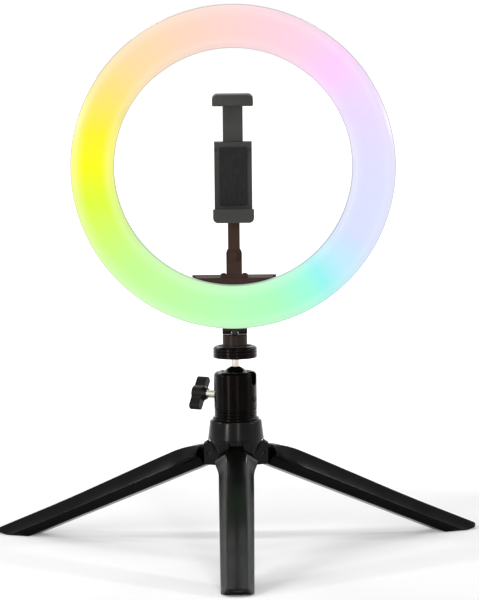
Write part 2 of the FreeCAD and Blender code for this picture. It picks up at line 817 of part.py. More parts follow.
def mount_post():
    """The round post that screws on the stem, with the tilt hinge's tongue on top."""
    body = cylinder("mount_post", "post_radius", POST_BOTTOM, "post_top")
    dressed(body, "Chamfer", on_circle("post_radius", 2, "post_top"), "edge_break / 2")
    cavity = sketch_on(body, "XY_Plane", POST_BOTTOM)
    circle(cavity, "0", "0", "insert_radius + press_gap")
    pocket(body, cavity, f"stem_top + seat_gap - {POST_BOTTOM}", reverse=True)
    root = sketch_on(body, "YZ_Plane")
    rectangle(root, "-tilt_round", "tilt_round", "post_top - edge_break", "tilt_height")
    pad(body, root, "2 * tilt_tongue_half", middle=True)
    tongue = sketch_on(body, "YZ_Plane")
    circle(tongue, "0", "tilt_height", "tilt_round")
    pad(body, tongue, "2 * tilt_tongue_half", middle=True)
    hole = sketch_on(body, "YZ_Plane")
    circle(hole, "0", "tilt_height", "tilt_pin_radius + pin_fit")
    pocket(body, hole, "4 * tilt_tongue_half", middle=True)


def tilt_pin():
    body = new_body("tilt_pin")
    outline = sketch_on(body, "YZ_Plane")
    circle(outline, "0", "tilt_height", "tilt_pin_radius")
    pad(body, outline, "2 * post_radius - edge_break", middle=True)


mount_post()
cylinder("thread_insert", "insert_radius", POST_BOTTOM, "stem_top + seat_gap / 2", "stud_radius + stud_fit")
tilt_pin()

# ---------------------------------------------------------------- the lamp
# The lamp's pieces are drawn about the ring's centre: their own Y is the ring's axis.
CROWN = "(lamp_front - crown_drop)"
BOARD_FACE = "(lamp_back - shell - board_thick)"


def lamp_piece(label):
    return new_body(label, z="ring_height")


def lamp_ring(label, corners):
    """A ring turned about the lamp's axis; corners are (radius, Y)."""
    body = lamp_piece(label)
    outline = sketch_on(body, "XY_Plane")
    polygon(outline, corners)
    turned(body, outline)
    return body


def tilt_spot():
    """The tilt pin's place in the lamp's own axes."""
    return "0", "tilt_height - ring_height"


def rear_housing():
    """The back shell: a drafted channel, with the tilt hinge's two ears under it."""
    body = lamp_ring("rear_housing", [
        ("ring_radius", "-split_front"), ("ring_radius - draft", "lamp_back"),
        ("hole_radius + draft", "lamp_back"), ("hole_radius", "-split_front"),
        ("hole_radius + shell", "-split_front"), ("hole_radius + draft + shell", "lamp_back - shell"),
        ("ring_radius - draft - shell", "lamp_back - shell"), ("ring_radius - shell", "-split_front")])
    ear = "(post_radius - tilt_tongue_half - tilt_gap)"
    for offset in ("tilt_tongue_half + tilt_gap", "-post_radius"):
        web = sketch_on(body, "YZ_Plane", offset)
        rectangle(web, "-tilt_round", "tilt_round", "tilt_height - ring_height", "-(ring_radius - draft)")
        pad(body, web, ear)
        end = sketch_on(body, "YZ_Plane", offset)
        circle(end, *tilt_spot(), "tilt_round")
        pad(body, end, ear)
    pin_hole = sketch_on(body, "YZ_Plane")
    circle(pin_hole, *tilt_spot(), "tilt_pin_radius + press_gap")
    pocket(body, pin_hole, "4 * post_radius", middle=True)
    hole = sketch_on(body, "XZ_Plane", "-(lamp_back + cut_past)")
    circle(hole, "boss_circle", "0", "screw_radius + seat_gap")
    through = pocket(body, hole, "shell * 2", reverse=True)
    recess = sketch_on(body, "XZ_Plane", "-(lamp_back + cut_past)")
    circle(recess, "boss_circle", "0", "screw_head + seat_gap")
    sunk = pocket(body, recess, "1 + shell / 2", reverse=True)
    around(body, [through, sunk], "Y_Axis", "screw_count")


def diffuser():
    """The milky front, a crowned channel with the screw bosses that clamp the board."""
    inside = "(lamp_front - shell)"
    slope = "shell * 0.4"
    body = lamp_ring("diffuser", [
        ("ring_radius", "-split_front"), ("ring_radius", f"-{CROWN}"),
        ("ring_radius - crown_in", "-lamp_front"), ("hole_radius + crown_in", "-lamp_front"),
        ("hole_radius", f"-{CROWN}"), ("hole_radius", "-split_front"),
        ("hole_radius + shell", "-split_front"), ("hole_radius + shell", f"-{CROWN} + {slope}"),
        (f"hole_radius + crown_in + {slope}", f"-{inside}"),
        (f"ring_radius - crown_in - {slope}", f"-{inside}"),
        ("ring_radius - shell", f"-{CROWN} + {slope}"), ("ring_radius - shell", "-split_front")])
    boss = sketch_on(body, "XZ_Plane", inside)
    circle(boss, "boss_circle", "0", "boss_radius")
    bosses = pad(body, boss, f"{inside} + lamp_back - shell", reverse=True)
    hole = sketch_on(body, "XZ_Plane", "-(lamp_back - shell)")
    circle(hole, "boss_circle", "0", "screw_radius + press_gap")
    holes = pocket(body, hole, "screw_long + press_gap", reverse=True)
    around(body, [bosses, holes], "Y_Axis", "screw_count")


def led_board():
    body = lamp_piece("led_board")
    outline = sketch_on(body, "XZ_Plane", "-(lamp_back - shell)")
    circle(outline, "0", "0", "ring_radius - board_edge")
    circle(outline, "0", "0", "hole_radius + board_edge")
    pad(body, outline, "board_thick")
    hole = sketch_on(body, "XZ_Plane", "-lamp_back")
    circle(hole, "boss_circle", "0", "boss_radius + boss_fit")
    holes = pocket(body, hole, "board_thick + shell * 2", reverse=True)
    around(body, [holes], "Y_Axis", "screw_count")


def led_chips():
    """Two rows of square LED packages on the board."""
    body = lamp_piece("led_chips")
    outline = sketch_on(body, "XZ_Plane", f"-{BOARD_FACE}")
    for row in ("chip_row_in", "chip_row_out"):
        rectangle(outline, f"{row} - chip_half", f"{row} + chip_half", "-chip_half", "chip_half")
    chips = pad(body, outline, "chip_tall")
    around(body, [chips], "Y_Axis", "chip_count")


def reflectors():
    """Two cones of white film that turn side light forward."""
    films = (("inner_reflector", "hole_radius + shell", "+"), ("outer_reflector", "ring_radius - shell", "-"))
    for label, edge, way in films:
        foot = f"{edge} {way} film_gap {way} film_lean"
        lip = f"{edge} {way} film_gap"
        lamp_ring(label, [
            (lip, f"-{CROWN} + crown_drop"), (f"{lip} {way} film_thick", f"-{CROWN} + crown_drop"),
            (f"{foot} {way} film_thick", BOARD_FACE), (foot, BOARD_FACE)])


def housing_screws():
    body = lamp_piece("housing_screws")
    head = sketch_on(body, "XZ_Plane", "-(lamp_back - shell / 2)")
    circle(head, "boss_circle", "0", "screw_head")
    heads = pad(body, head, "shell / 2 - press_gap", reverse=True)
    shank = sketch_on(body, "XZ_Plane", "-(lamp_back - shell / 2)")
    circle(shank, "boss_circle", "0", "screw_radius")
    shanks = pad(body, shank, "screw_long + shell / 2")
    around(body, [heads, shanks], "Y_Axis", "screw_count")


rear_housing()
diffuser()
led_board()
led_chips()
reflectors()
housing_screws()

# ---------------------------------------------------------------- the bridge across the ring's foot
TRAY_BACK = "(bridge_back - cover_thick)"
POSTS = [(side, level) for side, level in (
    ("bridge_half - post_inset", "bridge_top + post_inset"),
    ("bridge_foot_half - post_inset / 2", "bridge_low - post_inset"))]


def bridge_outline(sketch, inset):
    """The bridge's back view: a wide chord that narrows to its foot, drawn inset by a wall."""
    half = f"(bridge_half - {inset})"
    foot = f"(bridge_foot_half - {inset} * 0.6)"
    top = f"-(bridge_top + {inset})"
    low = f"-(bridge_low - {inset})"
    polygon(sketch, [
        (f"-{half}", top), (f"-{half}", "-bridge_waist"), (f"-{foot}", low),
        (foot, low), (half, "-bridge_waist"), (half, top)])


def at_posts(sketch, radius):
    for side, level in POSTS:
        for way in ("", "-"):
            circle(sketch, f"{way}({side})", f"-({level})", radius)


def bridge_box():
    """The tray on the ring's back, with a ledge in the ring's opening that carries the arm."""
    body = lamp_piece("bridge_box")
    tray = sketch_on(body, "XZ_Plane", f"-{TRAY_BACK}")
    bridge_outline(tray, "0")
    pad(body, tray, f"{TRAY_BACK} - lamp_back")
    cavity = sketch_on(body, "XZ_Plane", f"-{TRAY_BACK}")
    bridge_outline(cavity, "shell")
    pocket(body, cavity, f"{TRAY_BACK} - lamp_back - shell", reverse=True)
    post = sketch_on(body, "XZ_Plane", f"-{TRAY_BACK}")
    at_posts(post, "post_boss")
    pad(body, post, f"{TRAY_BACK} - lamp_back - shell / 2")
    ledge = sketch_on(body, "XZ_Plane", "-lamp_back")
    rectangle(ledge, "-bridge_half", "bridge_half", "-hole_radius - draft", "-bridge_top")
    pad(body, ledge, "lamp_back + ledge_front")
    clear = sketch_on(body, "XZ_Plane", "-lamp_back")
    circle(clear, "0", "0", "ring_radius")
    circle(clear, "0", "0", "hole_radius - ledge_fit")
    pocket(body, clear, "lamp_back + ledge_front + cut_past", reverse=True)
    screw = sketch_on(body, "XZ_Plane", f"-{TRAY_BACK}")
    at_posts(screw, "screw_radius + press_gap")
    pocket(body, screw, "cover_screw_long + press_gap", reverse=True)
    arm_hole = sketch_on(body, "XY_Plane", "-bridge_top")
    for way in ("", "-"):
        circle(arm_hole, f"{way}arm_screw_side", "-arm_thick / 2", "arm_screw + press_gap")
    pocket(body, arm_hole, "arm_screw_long + press_gap")


def bridge_cover():
    body = lamp_piece("bridge_cover")
    outline = sketch_on(body, "XZ_Plane", "-bridge_back")
    bridge_outline(outline, "0")
    pad(body, outline, "cover_thick")
    hole = sketch_on(body, "XZ_Plane", "-bridge_back")
    at_posts(hole, "screw_radius + seat_gap")
    circle(hole, "0", "-gland_drop", "gland_radius + press_gap")
    pocket(body, hole, "cover_thick", reverse=True)
    recess = sketch_on(body, "XZ_Plane", "-bridge_back")
    at_posts(recess, "screw_head + seat_gap")
    pocket(body, recess, "cover_thick / 2", reverse=True)


def bridge_screws():
    body = lamp_piece("bridge_screws")
    head = sketch_on(body, "XZ_Plane", "-(bridge_back - cover_thick / 2)")
    at_posts(head, "screw_head")
    pad(body, head, "cover_thick / 2 - press_gap", reverse=True)
    shank = sketch_on(body, "XZ_Plane", "-(bridge_back - cover_thick / 2)")
    at_posts(shank, "screw_radius")
    pad(body, shank, "cover_thick / 2 + cover_screw_long")


def controller_board():
    body = lamp_piece("controller_board")
    outline = sketch_on(body, "XZ_Plane", "-(lamp_back + shell + pcb_thick)")
    top = "(bridge_top + pcb_edge)"
    rectangle(outline, "-pcb_half", "pcb_half", f"-({top} + pcb_tall)", f"-{top}")
    pad(body, outline, "pcb_thick")


def controller_chips():
    """The driver chip and four power transistors on the controller board."""
    body = lamp_piece("controller_chips")
    outline = sketch_on(body, "XZ_Plane", "-(lamp_back + shell + pcb_thick)")
    middle = "(bridge_top + pcb_edge + pcb_tall / 2)"
    low, high = f"-{middle} - component / 2", f"-{middle} + component / 2"
    rectangle(outline, "-component", "component", low, high)
    for step in ("-4", "-2.8", "2", "3.2"):
        left = f"component * ({step})"
        rectangle(outline, left, f"{left} + component_wide", low, high)
    pad(body, outline, "pcb_thick", reverse=True)


def cable_gland():
    """The rubber gland that a lead goes in by; its flange seats on the cover."""
    body = lamp_piece("cable_gland")
    inside = sketch_on(body, "XZ_Plane", f"-({TRAY_BACK} - cover_thick / 2)")
    circle(inside, "0", "-gland_drop", "gland_radius")
    pad(body, inside, "bridge_back - (bridge_back - cover_thick * 1.5) + gland_proud", reverse=True)
    flange = sketch_on(body, "XZ_Plane", "-bridge_back")
    circle(flange, "0", "-gland_drop", "gland_flange")
    pad(body, flange, "gland_proud * 0.3", reverse=True)
    bore = sketch_on(body, "XZ_Plane", "-lamp_back")
    circle(bore, "0", "-gland_drop", "gland_bore")
    pocket(body, bore, "bridge_back + gland_proud")


bridge_box()
bridge_cover()
bridge_screws()
controller_board()
controller_chips()
cable_gland()

# ---------------------------------------------------------------- the phone arm
LEDGE_TOP = "(ring_height - bridge_top)"
UPPER_BACK = "(arm_thick + lap_gap)"
UPPER_FRONT = f"({UPPER_BACK} + upper_thick)"
KNUCKLE_Y = f"(-({UPPER_BACK} + upper_thick / 2))"


def lower_arm():
    """The fixed arm: a bar with a rounded top, on a foot flange screwed to the ledge."""
    body = new_body("lower_arm")
    bar = sketch_on(body, "XZ_Plane")
    rectangle(bar, "-arm_half", "arm_half", LEDGE_TOP, "arm_pin_height")
    pad(body, bar, "arm_thick")
    end = sketch_on(body, "XZ_Plane")
    circle(end, "0", "arm_pin_height", "arm_half")
    pad(body, end, "arm_thick")
    foot = sketch_on(body, "XY_Plane", LEDGE_TOP)
    rectangle(foot, "-arm_foot_half", "arm_foot_half", "-arm_thick - cut_past", "cut_past")
    pad(body, foot, "foot_flange")
    hole = sketch_on(body, "XZ_Plane")
    circle(hole, "0", "arm_pin_height", "arm_pin_radius + press_gap")
    pocket(body, hole, "arm_thick", reverse=True)
    screw = sketch_on(body, "XY_Plane", LEDGE_TOP)
    for way in ("", "-"):
        circle(screw, f"{way}arm_screw_side", "-arm_thick / 2", "arm_screw + seat_gap")
    pocket(body, screw, "foot_flange", reverse=True)


def arm_screws():
    body = new_body("arm_screws")
    shank = sketch_on(body, "XY_Plane", f"{LEDGE_TOP} + foot_flange")
    head = sketch_on(body, "XY_Plane", f"{LEDGE_TOP} + foot_flange")
    for way in ("", "-"):
        circle(shank, f"{way}arm_screw_side", "-arm_thick / 2", "arm_screw")
        circle(head, f"{way}arm_screw_side", "-arm_thick / 2", "arm_screw * 1.7")
    pad(body, shank, "foot_flange + arm_screw_long", reverse=True)
    pad(body, head, "arm_screw")


def arm_pin():
    """The headed pin that the upper arm swings on."""
    body = new_body("arm_pin")
    shank = sketch_on(body, "XZ_Plane")
    circle(shank, "0", "arm_pin_height", "arm_pin_radius")
    pad(body, shank, f"{UPPER_FRONT} + lap_gap")
    head = sketch_on(body, "XZ_Plane", f"{UPPER_FRONT} + lap_gap")
    circle(head, "0", "arm_pin_height", "arm_pin_head")
    pad(body, head, "edge_break * 1.5")


def upper_arm():
    """The swinging arm, with a fork at its top for the clamp's knuckle."""
    body = new_body("upper_arm")
    bar = sketch_on(body, "XZ_Plane", UPPER_BACK)
    rectangle(bar, "-upper_half", "upper_half", "arm_pin_height", "clamp_height - fork_round")
    pad(body, bar, "upper_thick")
    end = sketch_on(body, "XZ_Plane", UPPER_BACK)
    circle(end, "0", "arm_pin_height", "upper_half")
    pad(body, end, "upper_thick")
    fork = sketch_on(body, "YZ_Plane")
    rectangle(fork, f"-{UPPER_FRONT}", f"-{UPPER_BACK}", "clamp_height - fork_round * 1.6", "clamp_height")
    pad(body, fork, "2 * fork_half", middle=True)
    round_top = sketch_on(body, "YZ_Plane")
    circle(round_top, KNUCKLE_Y, "clamp_height", "fork_round")
    pad(body, round_top, "2 * fork_half", middle=True)
    slot = sketch_on(body, "XZ_Plane")
    gap = "(knuckle_half + seat_gap)"
    rectangle(slot, f"-{gap}", gap, "clamp_height - fork_round", "clamp_height + fork_round + cut_past")
    pocket(body, slot, f"{UPPER_FRONT} * 2 + fork_round", reverse=True)
    pivot = sketch_on(body, "YZ_Plane")
    circle(pivot, KNUCKLE_Y, "clamp_height", "knuckle_pin_radius + press_gap")
    pocket(body, pivot, "4 * fork_half", middle=True)
    hole = sketch_on(body, "XZ_Plane")
    circle(hole, "0", "arm_pin_height", "arm_pin_radius + pin_fit")
    pocket(body, hole, f"{UPPER_FRONT} + cut_past", reverse=True)


def knuckle_pin():
    body = new_body("knuckle_pin")
    outline = sketch_on(body, "YZ_Plane")
    circle(outline, KNUCKLE_Y, "clamp_height", "knuckle_pin_radius")
    pad(body, outline, "2 * fork_half", middle=True)


def clamp_knuckle():
    """The tilting tongue with a round disc that the clamp turns on."""
    body = new_body("clamp_knuckle")
    neck_end = "(clamp_back_face - seat_gap / 2)"
    tongue = sketch_on(body, "YZ_Plane")
    circle(tongue, KNUCKLE_Y, "clamp_height", "fork_round - knuckle_less")
    pad(body, tongue, "2 * knuckle_half", middle=True)
    bridge = sketch_on(body, "YZ_Plane")
    front = f"-({UPPER_FRONT} + fork_round - fork_bridge_cut)"
    rectangle(bridge, front, KNUCKLE_Y, "clamp_height - knuckle_half", "clamp_height + knuckle_half")
    pad(body, bridge, "2 * knuckle_half", middle=True)
    neck = sketch_on(body, "XZ_Plane", neck_end)
    circle(neck, "0", "clamp_height", "knuckle_neck")
    pad(body, neck, f"{neck_end} + {KNUCKLE_Y} - fork_round - lap_gap * 1.5", reverse=True)
    disc = sketch_on(body, "XZ_Plane", neck_end)
    circle(disc, "0", "clamp_height", "knuckle_disc")
    pad(body, disc, "knuckle_disc_thick", reverse=True)
    hole = sketch_on(body, "YZ_Plane")
    circle(hole, KNUCKLE_Y, "clamp_height", "knuckle_pin_radius + pin_fit")
    pocket(body, hole, "4 * knuckle_half", middle=True)


lower_arm()
arm_screws()
arm_pin()
upper_arm()
knuckle_pin()
clamp_knuckle()

# ---------------------------------------------------------------- the phone clamp
CLAMP_FRONT = "(clamp_back_face + clamp_deep)"
COVER_FRONT = f"({CLAMP_FRONT} + front_cover_thick)"
REST_FACE = f"({COVER_FRONT} + phone_pad_thick)"
JAW_FRONT = "(clamp_back_face + jaw_reach + lip_thick)"
LIP_BACK = "(clamp_back_face + jaw_reach)"
SLIDE_MID = f"({CLAMP_FRONT} - (clamp_deep - clamp_wall) / 2)"
POCKET_HALF = "(spring_offset + spring_radius + spring_wire + slide_fit)"
SCREW_SIDE = f"((clamp_half + {POCKET_HALF}) / 2)"


def clamp_screw_spots(sketch, radius):
    for way in ("", "-"):
        for level in ("clamp_low + clamp_wall * 1.5", "clamp_high - clamp_wall * 3"):
            circle(sketch, f"{way}{SCREW_SIDE}", level, radius)


def clamp_back():
    """The clamp's rear shell, with the slide's channel inside and the swivel's cup behind."""
    body = new_body("clamp_back")
    shell = sketch_on(body, "XZ_Plane", "clamp_back_face")
    rectangle(shell, "-clamp_half", "clamp_half", "clamp_low", "clamp_high")
    pad(body, shell, "clamp_deep")
    cup = sketch_on(body, "XZ_Plane", "clamp_back_face")
    circle(cup, "0", "clamp_height", "swivel_radius")
    circle(cup, "0", "clamp_height", "knuckle_disc + seat_gap")
    pad(body, cup, "swivel_long", reverse=True)
    channel = sketch_on(body, "XZ_Plane", CLAMP_FRONT)
    low, high = "clamp_low + clamp_wall * 3", "clamp_high - clamp_wall"
    rectangle(channel, f"-{POCKET_HALF}", POCKET_HALF, low, high)
    pocket(body, channel, "clamp_deep - clamp_wall")
    mouth = sketch_on(body, "XY_Plane", "clamp_high - clamp_wall - cut_past")
    rectangle(mouth, "-(slide_half + slide_fit)", "slide_half + slide_fit",
              f"-({SLIDE_MID} + slide_thick / 2 + slide_fit)",
              f"-({SLIDE_MID} - slide_thick / 2 - slide_fit)")
    pocket(body, mouth, "clamp_wall + 2 * cut_past", reverse=True)
    screw = sketch_on(body, "XZ_Plane", CLAMP_FRONT)
    clamp_screw_spots(screw, "small_screw + press_gap")
    pocket(body, screw, "clamp_deep - clamp_wall")


def swivel_collar():
    """The ring that keeps the knuckle's disc in the clamp's cup."""
    body = new_body("swivel_collar")
    outline = sketch_on(body, "XZ_Plane", "clamp_back_face - swivel_long")
    circle(outline, "0", "clamp_height", "knuckle_disc + seat_gap - press_gap")
    circle(outline, "0", "clamp_height", "knuckle_neck + seat_gap")
    pad(body, outline, "swivel_long - knuckle_disc_thick - seat_gap")


def clamp_cover():
    body = new_body("clamp_cover")
    outline = sketch_on(body, "XZ_Plane", CLAMP_FRONT)
    rectangle(outline, "-clamp_half", "clamp_half", "clamp_low", "clamp_high")
    pad(body, outline, "front_cover_thick")
    hole = sketch_on(body, "XZ_Plane", COVER_FRONT)
    clamp_screw_spots(hole, "small_screw + press_gap")
    pocket(body, hole, "front_cover_thick")
    recess = sketch_on(body, "XZ_Plane", COVER_FRONT)
    clamp_screw_spots(recess, "small_screw * 1.5")
    pocket(body, recess, "front_cover_thick / 2")


def clamp_screws():
    body = new_body("clamp_screws")
    shank = sketch_on(body, "XZ_Plane", f"{COVER_FRONT} - front_cover_thick / 2")
    clamp_screw_spots(shank, "small_screw")
    pad(body, shank, "front_cover_thick / 2 + clamp_deep / 2", reverse=True)
    head = sketch_on(body, "XZ_Plane", f"{COVER_FRONT} - front_cover_thick / 2")
    clamp_screw_spots(head, "small_screw * 1.5 - press_gap")
    pad(body, head, "front_cover_thick / 2 - press_gap")


def rest_pad():
    """The rubber face that a phone's back rests on."""
    body = new_body("rest_pad")
    outline = sketch_on(body, "XZ_Plane", COVER_FRONT)
    side = "(clamp_half - clamp_wall * 2)"
    rectangle(outline, f"-{side}", side, "low_jaw_top + clamp_wall", "clamp_high - clamp_wall * 2")
    pad(body, outline, "phone_pad_thick")


def jaw_pad(label, low, high):
    block(label, "-(jaw_half - clamp_wall)", "jaw_half - clamp_wall",
          f"-({LIP_BACK} - seat_gap)", f"-({REST_FACE} + seat_gap)", low, high)


def jaw_edges(body, level):
    """Rounds the jaw's two outer edges that run front to back."""
    dressed(body, "Fillet", lambda edge: along(1, (2, level))(edge)
            and abs(abs(edge.Vertexes[0].X) - number("jaw_half")) < 0.01, "jaw_round")


def lower_jaw():
    """The fixed jaw: it wraps under the clamp's shells and turns up at its lip."""
    body = new_body("lower_jaw")
    outline = sketch_on(body, "YZ_Plane")
    seat = "low_jaw_top - lip_tall - jaw_pad_thick"
    polygon(outline, [
        ("-clamp_back_face", "low_jaw_bottom"), ("-clamp_back_face", "clamp_low"),
        (f"-{COVER_FRONT}", "clamp_low"), (f"-{COVER_FRONT}", seat), (f"-{LIP_BACK}", seat),
        (f"-{LIP_BACK}", "low_jaw_top"), (f"-{JAW_FRONT}", "low_jaw_top"),
        (f"-{JAW_FRONT}", "low_jaw_bottom")])
    pad(body, outline, "2 * jaw_half", middle=True)
    jaw_edges(body, "low_jaw_bottom")


def upper_jaw():
    """The sliding jaw, with its slide plate and the crossbar that the springs push on."""
    body = new_body("upper_jaw")
    outline = sketch_on(body, "YZ_Plane")
    seat = "high_jaw_bottom + lip_tall + jaw_pad_thick"
    back = f"-({SLIDE_MID} - slide_thick / 2 - clamp_wall)"
    polygon(outline, [
        (back, "high_jaw_top"), (f"-{JAW_FRONT}", "high_jaw_top"), (f"-{JAW_FRONT}", "high_jaw_bottom"),
        (f"-{LIP_BACK}", "high_jaw_bottom"), (f"-{LIP_BACK}", seat), (back, seat)])
    pad(body, outline, "2 * jaw_half", middle=True)
    jaw_edges(body, "high_jaw_top")
    plate = sketch_on(body, "XZ_Plane", f"{SLIDE_MID} + slide_thick / 2")
    rectangle(plate, "-slide_half", "slide_half", "slide_low", seat)
    pad(body, plate, "slide_thick", reverse=True)
    bar = sketch_on(body, "XZ_Plane", f"{SLIDE_MID} + slide_thick / 2")
    reach = f"({POCKET_HALF} - slide_fit)"
    rectangle(bar, f"-{reach}", reach, "slide_low", "slide_low + crossbar_tall")
    pad(body, bar, "slide_thick", reverse=True)


def jaw_springs():
    """Two compression springs between the crossbar and the clamp's top wall."""
    low = number("slide_low + crossbar_tall + spring_wire")
    high = number("clamp_high - clamp_wall - spring_wire")
    wire = number("spring_wire")
    radius = number("spring_radius")
    helix = Part.makeHelix((high - low) / number("spring_turns"), high - low, radius)
    profile = Part.Wire(Part.makeCircle(wire, Vector(radius, 0, 0), Vector(0, 1, 0)))
    coil = Part.Wire(helix.Edges).makePipeShell([profile], True, True)
    both = doc.addObject("Part::Feature", "jaw_springs")
    both.Label = "jaw_springs"
    coils = []
    for way in (1, -1):
        one = coil.copy()
        one.translate(Vector(way * number("spring_offset"), -number(SLIDE_MID), low))
        coils.append(one)
    both.Shape = Part.makeCompound(coils)
    PIECES.append(both)


clamp_back()
swivel_collar()
clamp_cover()
clamp_screws()
rest_pad()
lower_jaw()
jaw_pad("lower_jaw_pad", "low_jaw_top - lip_tall - jaw_pad_thick", "low_jaw_top - lip_tall")
upper_jaw()
jaw_pad("upper_jaw_pad", "high_jaw_bottom + lip_tall", "high_jaw_bottom + lip_tall + jaw_pad_thick")
jaw_springs()

# ---------------------------------------------------------------- writing
doc.recompute()
for item in doc.Objects:
    if "Invalid" in item.State or "Error" in item.State:
        raise RuntimeError(f"{item.Label} is {item.State}")
os.makedirs("parts", exist_ok=True)
for body in PIECES:
    shape = body.Shape
    if shape.isNull() or not shape.isValid() or not shape.Solids:
        raise RuntimeError(f"{body.Label} has no valid solid")
    shape.exportStep(f"parts/{body.Label}.step")
    box = shape.BoundBox
    size = f"{box.XLength:.1f} x {box.YLength:.1f} x {box.ZLength:.1f}"
    print(f"{body.Label}: {len(shape.Solids)} solid(s), {size}")
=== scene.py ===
# %% [markdown]
# # A ring light on a small tripod
# The lamp is a flat ring with a milky front, lit from behind by coloured LEDs. It stands on a ball
# head and three folding legs, and a sprung phone clamp on an arm stands in its opening. The solids
# are already packed as a frame with bodies and joints. Here they get their looks: broken edges,
# moulded and turned surfaces, the glow, and plain studio light.

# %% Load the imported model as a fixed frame
import json
import math

import bmesh
import bpy
from mathutils import Matrix, Vector


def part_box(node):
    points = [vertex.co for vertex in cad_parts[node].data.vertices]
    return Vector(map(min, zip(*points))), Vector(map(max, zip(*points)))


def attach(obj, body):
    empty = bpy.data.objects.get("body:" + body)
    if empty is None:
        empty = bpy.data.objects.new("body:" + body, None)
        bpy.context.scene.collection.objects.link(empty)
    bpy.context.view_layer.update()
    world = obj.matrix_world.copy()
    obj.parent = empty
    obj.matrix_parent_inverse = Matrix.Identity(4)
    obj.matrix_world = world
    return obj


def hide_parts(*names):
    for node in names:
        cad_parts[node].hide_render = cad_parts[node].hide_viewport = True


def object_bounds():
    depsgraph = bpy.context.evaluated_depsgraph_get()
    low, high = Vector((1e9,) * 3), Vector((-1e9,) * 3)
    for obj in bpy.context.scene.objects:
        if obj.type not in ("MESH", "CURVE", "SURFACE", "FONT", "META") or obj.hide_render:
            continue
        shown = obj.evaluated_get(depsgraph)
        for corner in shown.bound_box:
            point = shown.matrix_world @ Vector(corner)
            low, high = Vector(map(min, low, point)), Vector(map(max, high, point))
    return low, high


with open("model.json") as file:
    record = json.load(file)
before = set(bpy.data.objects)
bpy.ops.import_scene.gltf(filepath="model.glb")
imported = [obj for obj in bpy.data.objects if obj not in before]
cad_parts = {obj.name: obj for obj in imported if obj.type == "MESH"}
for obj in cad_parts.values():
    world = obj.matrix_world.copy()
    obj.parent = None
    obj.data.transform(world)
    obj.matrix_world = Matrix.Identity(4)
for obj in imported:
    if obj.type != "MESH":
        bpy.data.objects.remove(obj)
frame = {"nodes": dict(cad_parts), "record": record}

mm = 0.001
cad_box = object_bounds()
record = frame["record"]
BODY = {node: body for body, nodes in record["behaviour"]["bodies"].items() for node in nodes}
scene = bpy.context.scene
scene.view_settings.view_transform = "Standard"

# %% [markdown]
# ## Colours and nodes
# Colours are written as sRGB hex, the way a paint chart gives them, and one function turns them
# to the linear values that the renderer works in. One more function adds any shader node with its
# settings and links, so that each finish below reads as a short recipe.

# %% Colours and nodes
def colour(code):
    """An sRGB hex colour as linear RGBA."""
    parts = [int(code[i:i + 2], 16) / 255 for i in (1, 3, 5)]
    return [p / 12.92 if p <= 0.04045 else ((p + 0.055) / 1.055) ** 2.4 for p in parts] + [1]


def add(tree, kind, inputs=None, **settings):
    """One node: settings are its properties, inputs are values or sockets to link."""
    node = tree.nodes.new(kind)
    for name, value in settings.items():
        setattr(node, name, value)
    for name, value in (inputs or {}).items():
        if isinstance(value, bpy.types.NodeSocket):
            tree.links.new(value, node.inputs[name])
        else:
            node.inputs[name].default_value = value
    return node


def ramp(tree, factor, *stops):
    """A colour ramp through (place, colour) stops."""
    node = add(tree, "ShaderNodeValToRGB", {"Fac": factor})
    marks = node.color_ramp.elements
    while len(marks) < len(stops):
        marks.new(0.5)
    for mark, (place, shade) in zip(marks, stops):
        mark.position = place
        mark.color = shade
    return node.outputs["Color"]


def new_finish(name):
    """An empty material; its place on the object comes in metres from the object's own axes."""
    material = bpy.data.materials.new(name)
    material.use_nodes = True
    tree = material.node_tree
    tree.nodes.clear()
    place = add(tree, "ShaderNodeTexCoord").outputs["Object"]
    return material, tree, place


def surface(tree, shader):
    add(tree, "ShaderNodeOutputMaterial", {"Surface": shader.outputs[0]})


print("a mid grey is", round(colour("#808080")[0], 3), "in linear light")

# %% [markdown]
# ## Moulded plastic
# Most of the lamp is injection moulded: ABS and nylon, black or brown-black. The steel mould is
# spark-eroded or polished, and the plastic copies its grain, about 1 mm between the larger dimples.
# Where parts are handled, the grain is rubbed a little smoother, which a slow noise in the
# roughness gives. Carbon black swallows nearly all light, and the eroded skin scatters much of the
# rest, so the black plastics keep the usual IOR but a low specular level.

# %% A moulded plastic
def moulded(name, shade, rubbed, roughness, grain, depth, shine=0.5):
    """shade and rubbed are its two close colours; grain and depth are sizes in mm."""
    material, tree, place = new_finish(name)
    skin = add(tree, "ShaderNodeTexNoise", {
        "Vector": place, "Scale": 1 / (grain * mm), "Detail": 3, "Roughness": 0.6}).outputs["Fac"]
    handled = add(tree, "ShaderNodeTexNoise", {
        "Vector": place, "Scale": 1 / (24 * mm), "Detail": 2}).outputs["Fac"]
    tint = ramp(tree, handled, (0.35, colour(shade)), (0.7, colour(rubbed)))
    gloss = add(tree, "ShaderNodeMapRange", {
        "Value": handled, "From Min": 0.3, "From Max": 0.7,
        "To Min": roughness + 0.05, "To Max": roughness - 0.04}).outputs["Result"]
    relief = add(tree, "ShaderNodeBump", {
        "Height": skin, "Strength": 0.6, "Distance": depth * mm}).outputs["Normal"]
    surface(tree, add(tree, "ShaderNodeBsdfPrincipled", {
        "Base Color": tint, "Roughness": gloss, "Normal": relief, "IOR": 1.53,
        "Specular IOR Level": shine}))
    return material


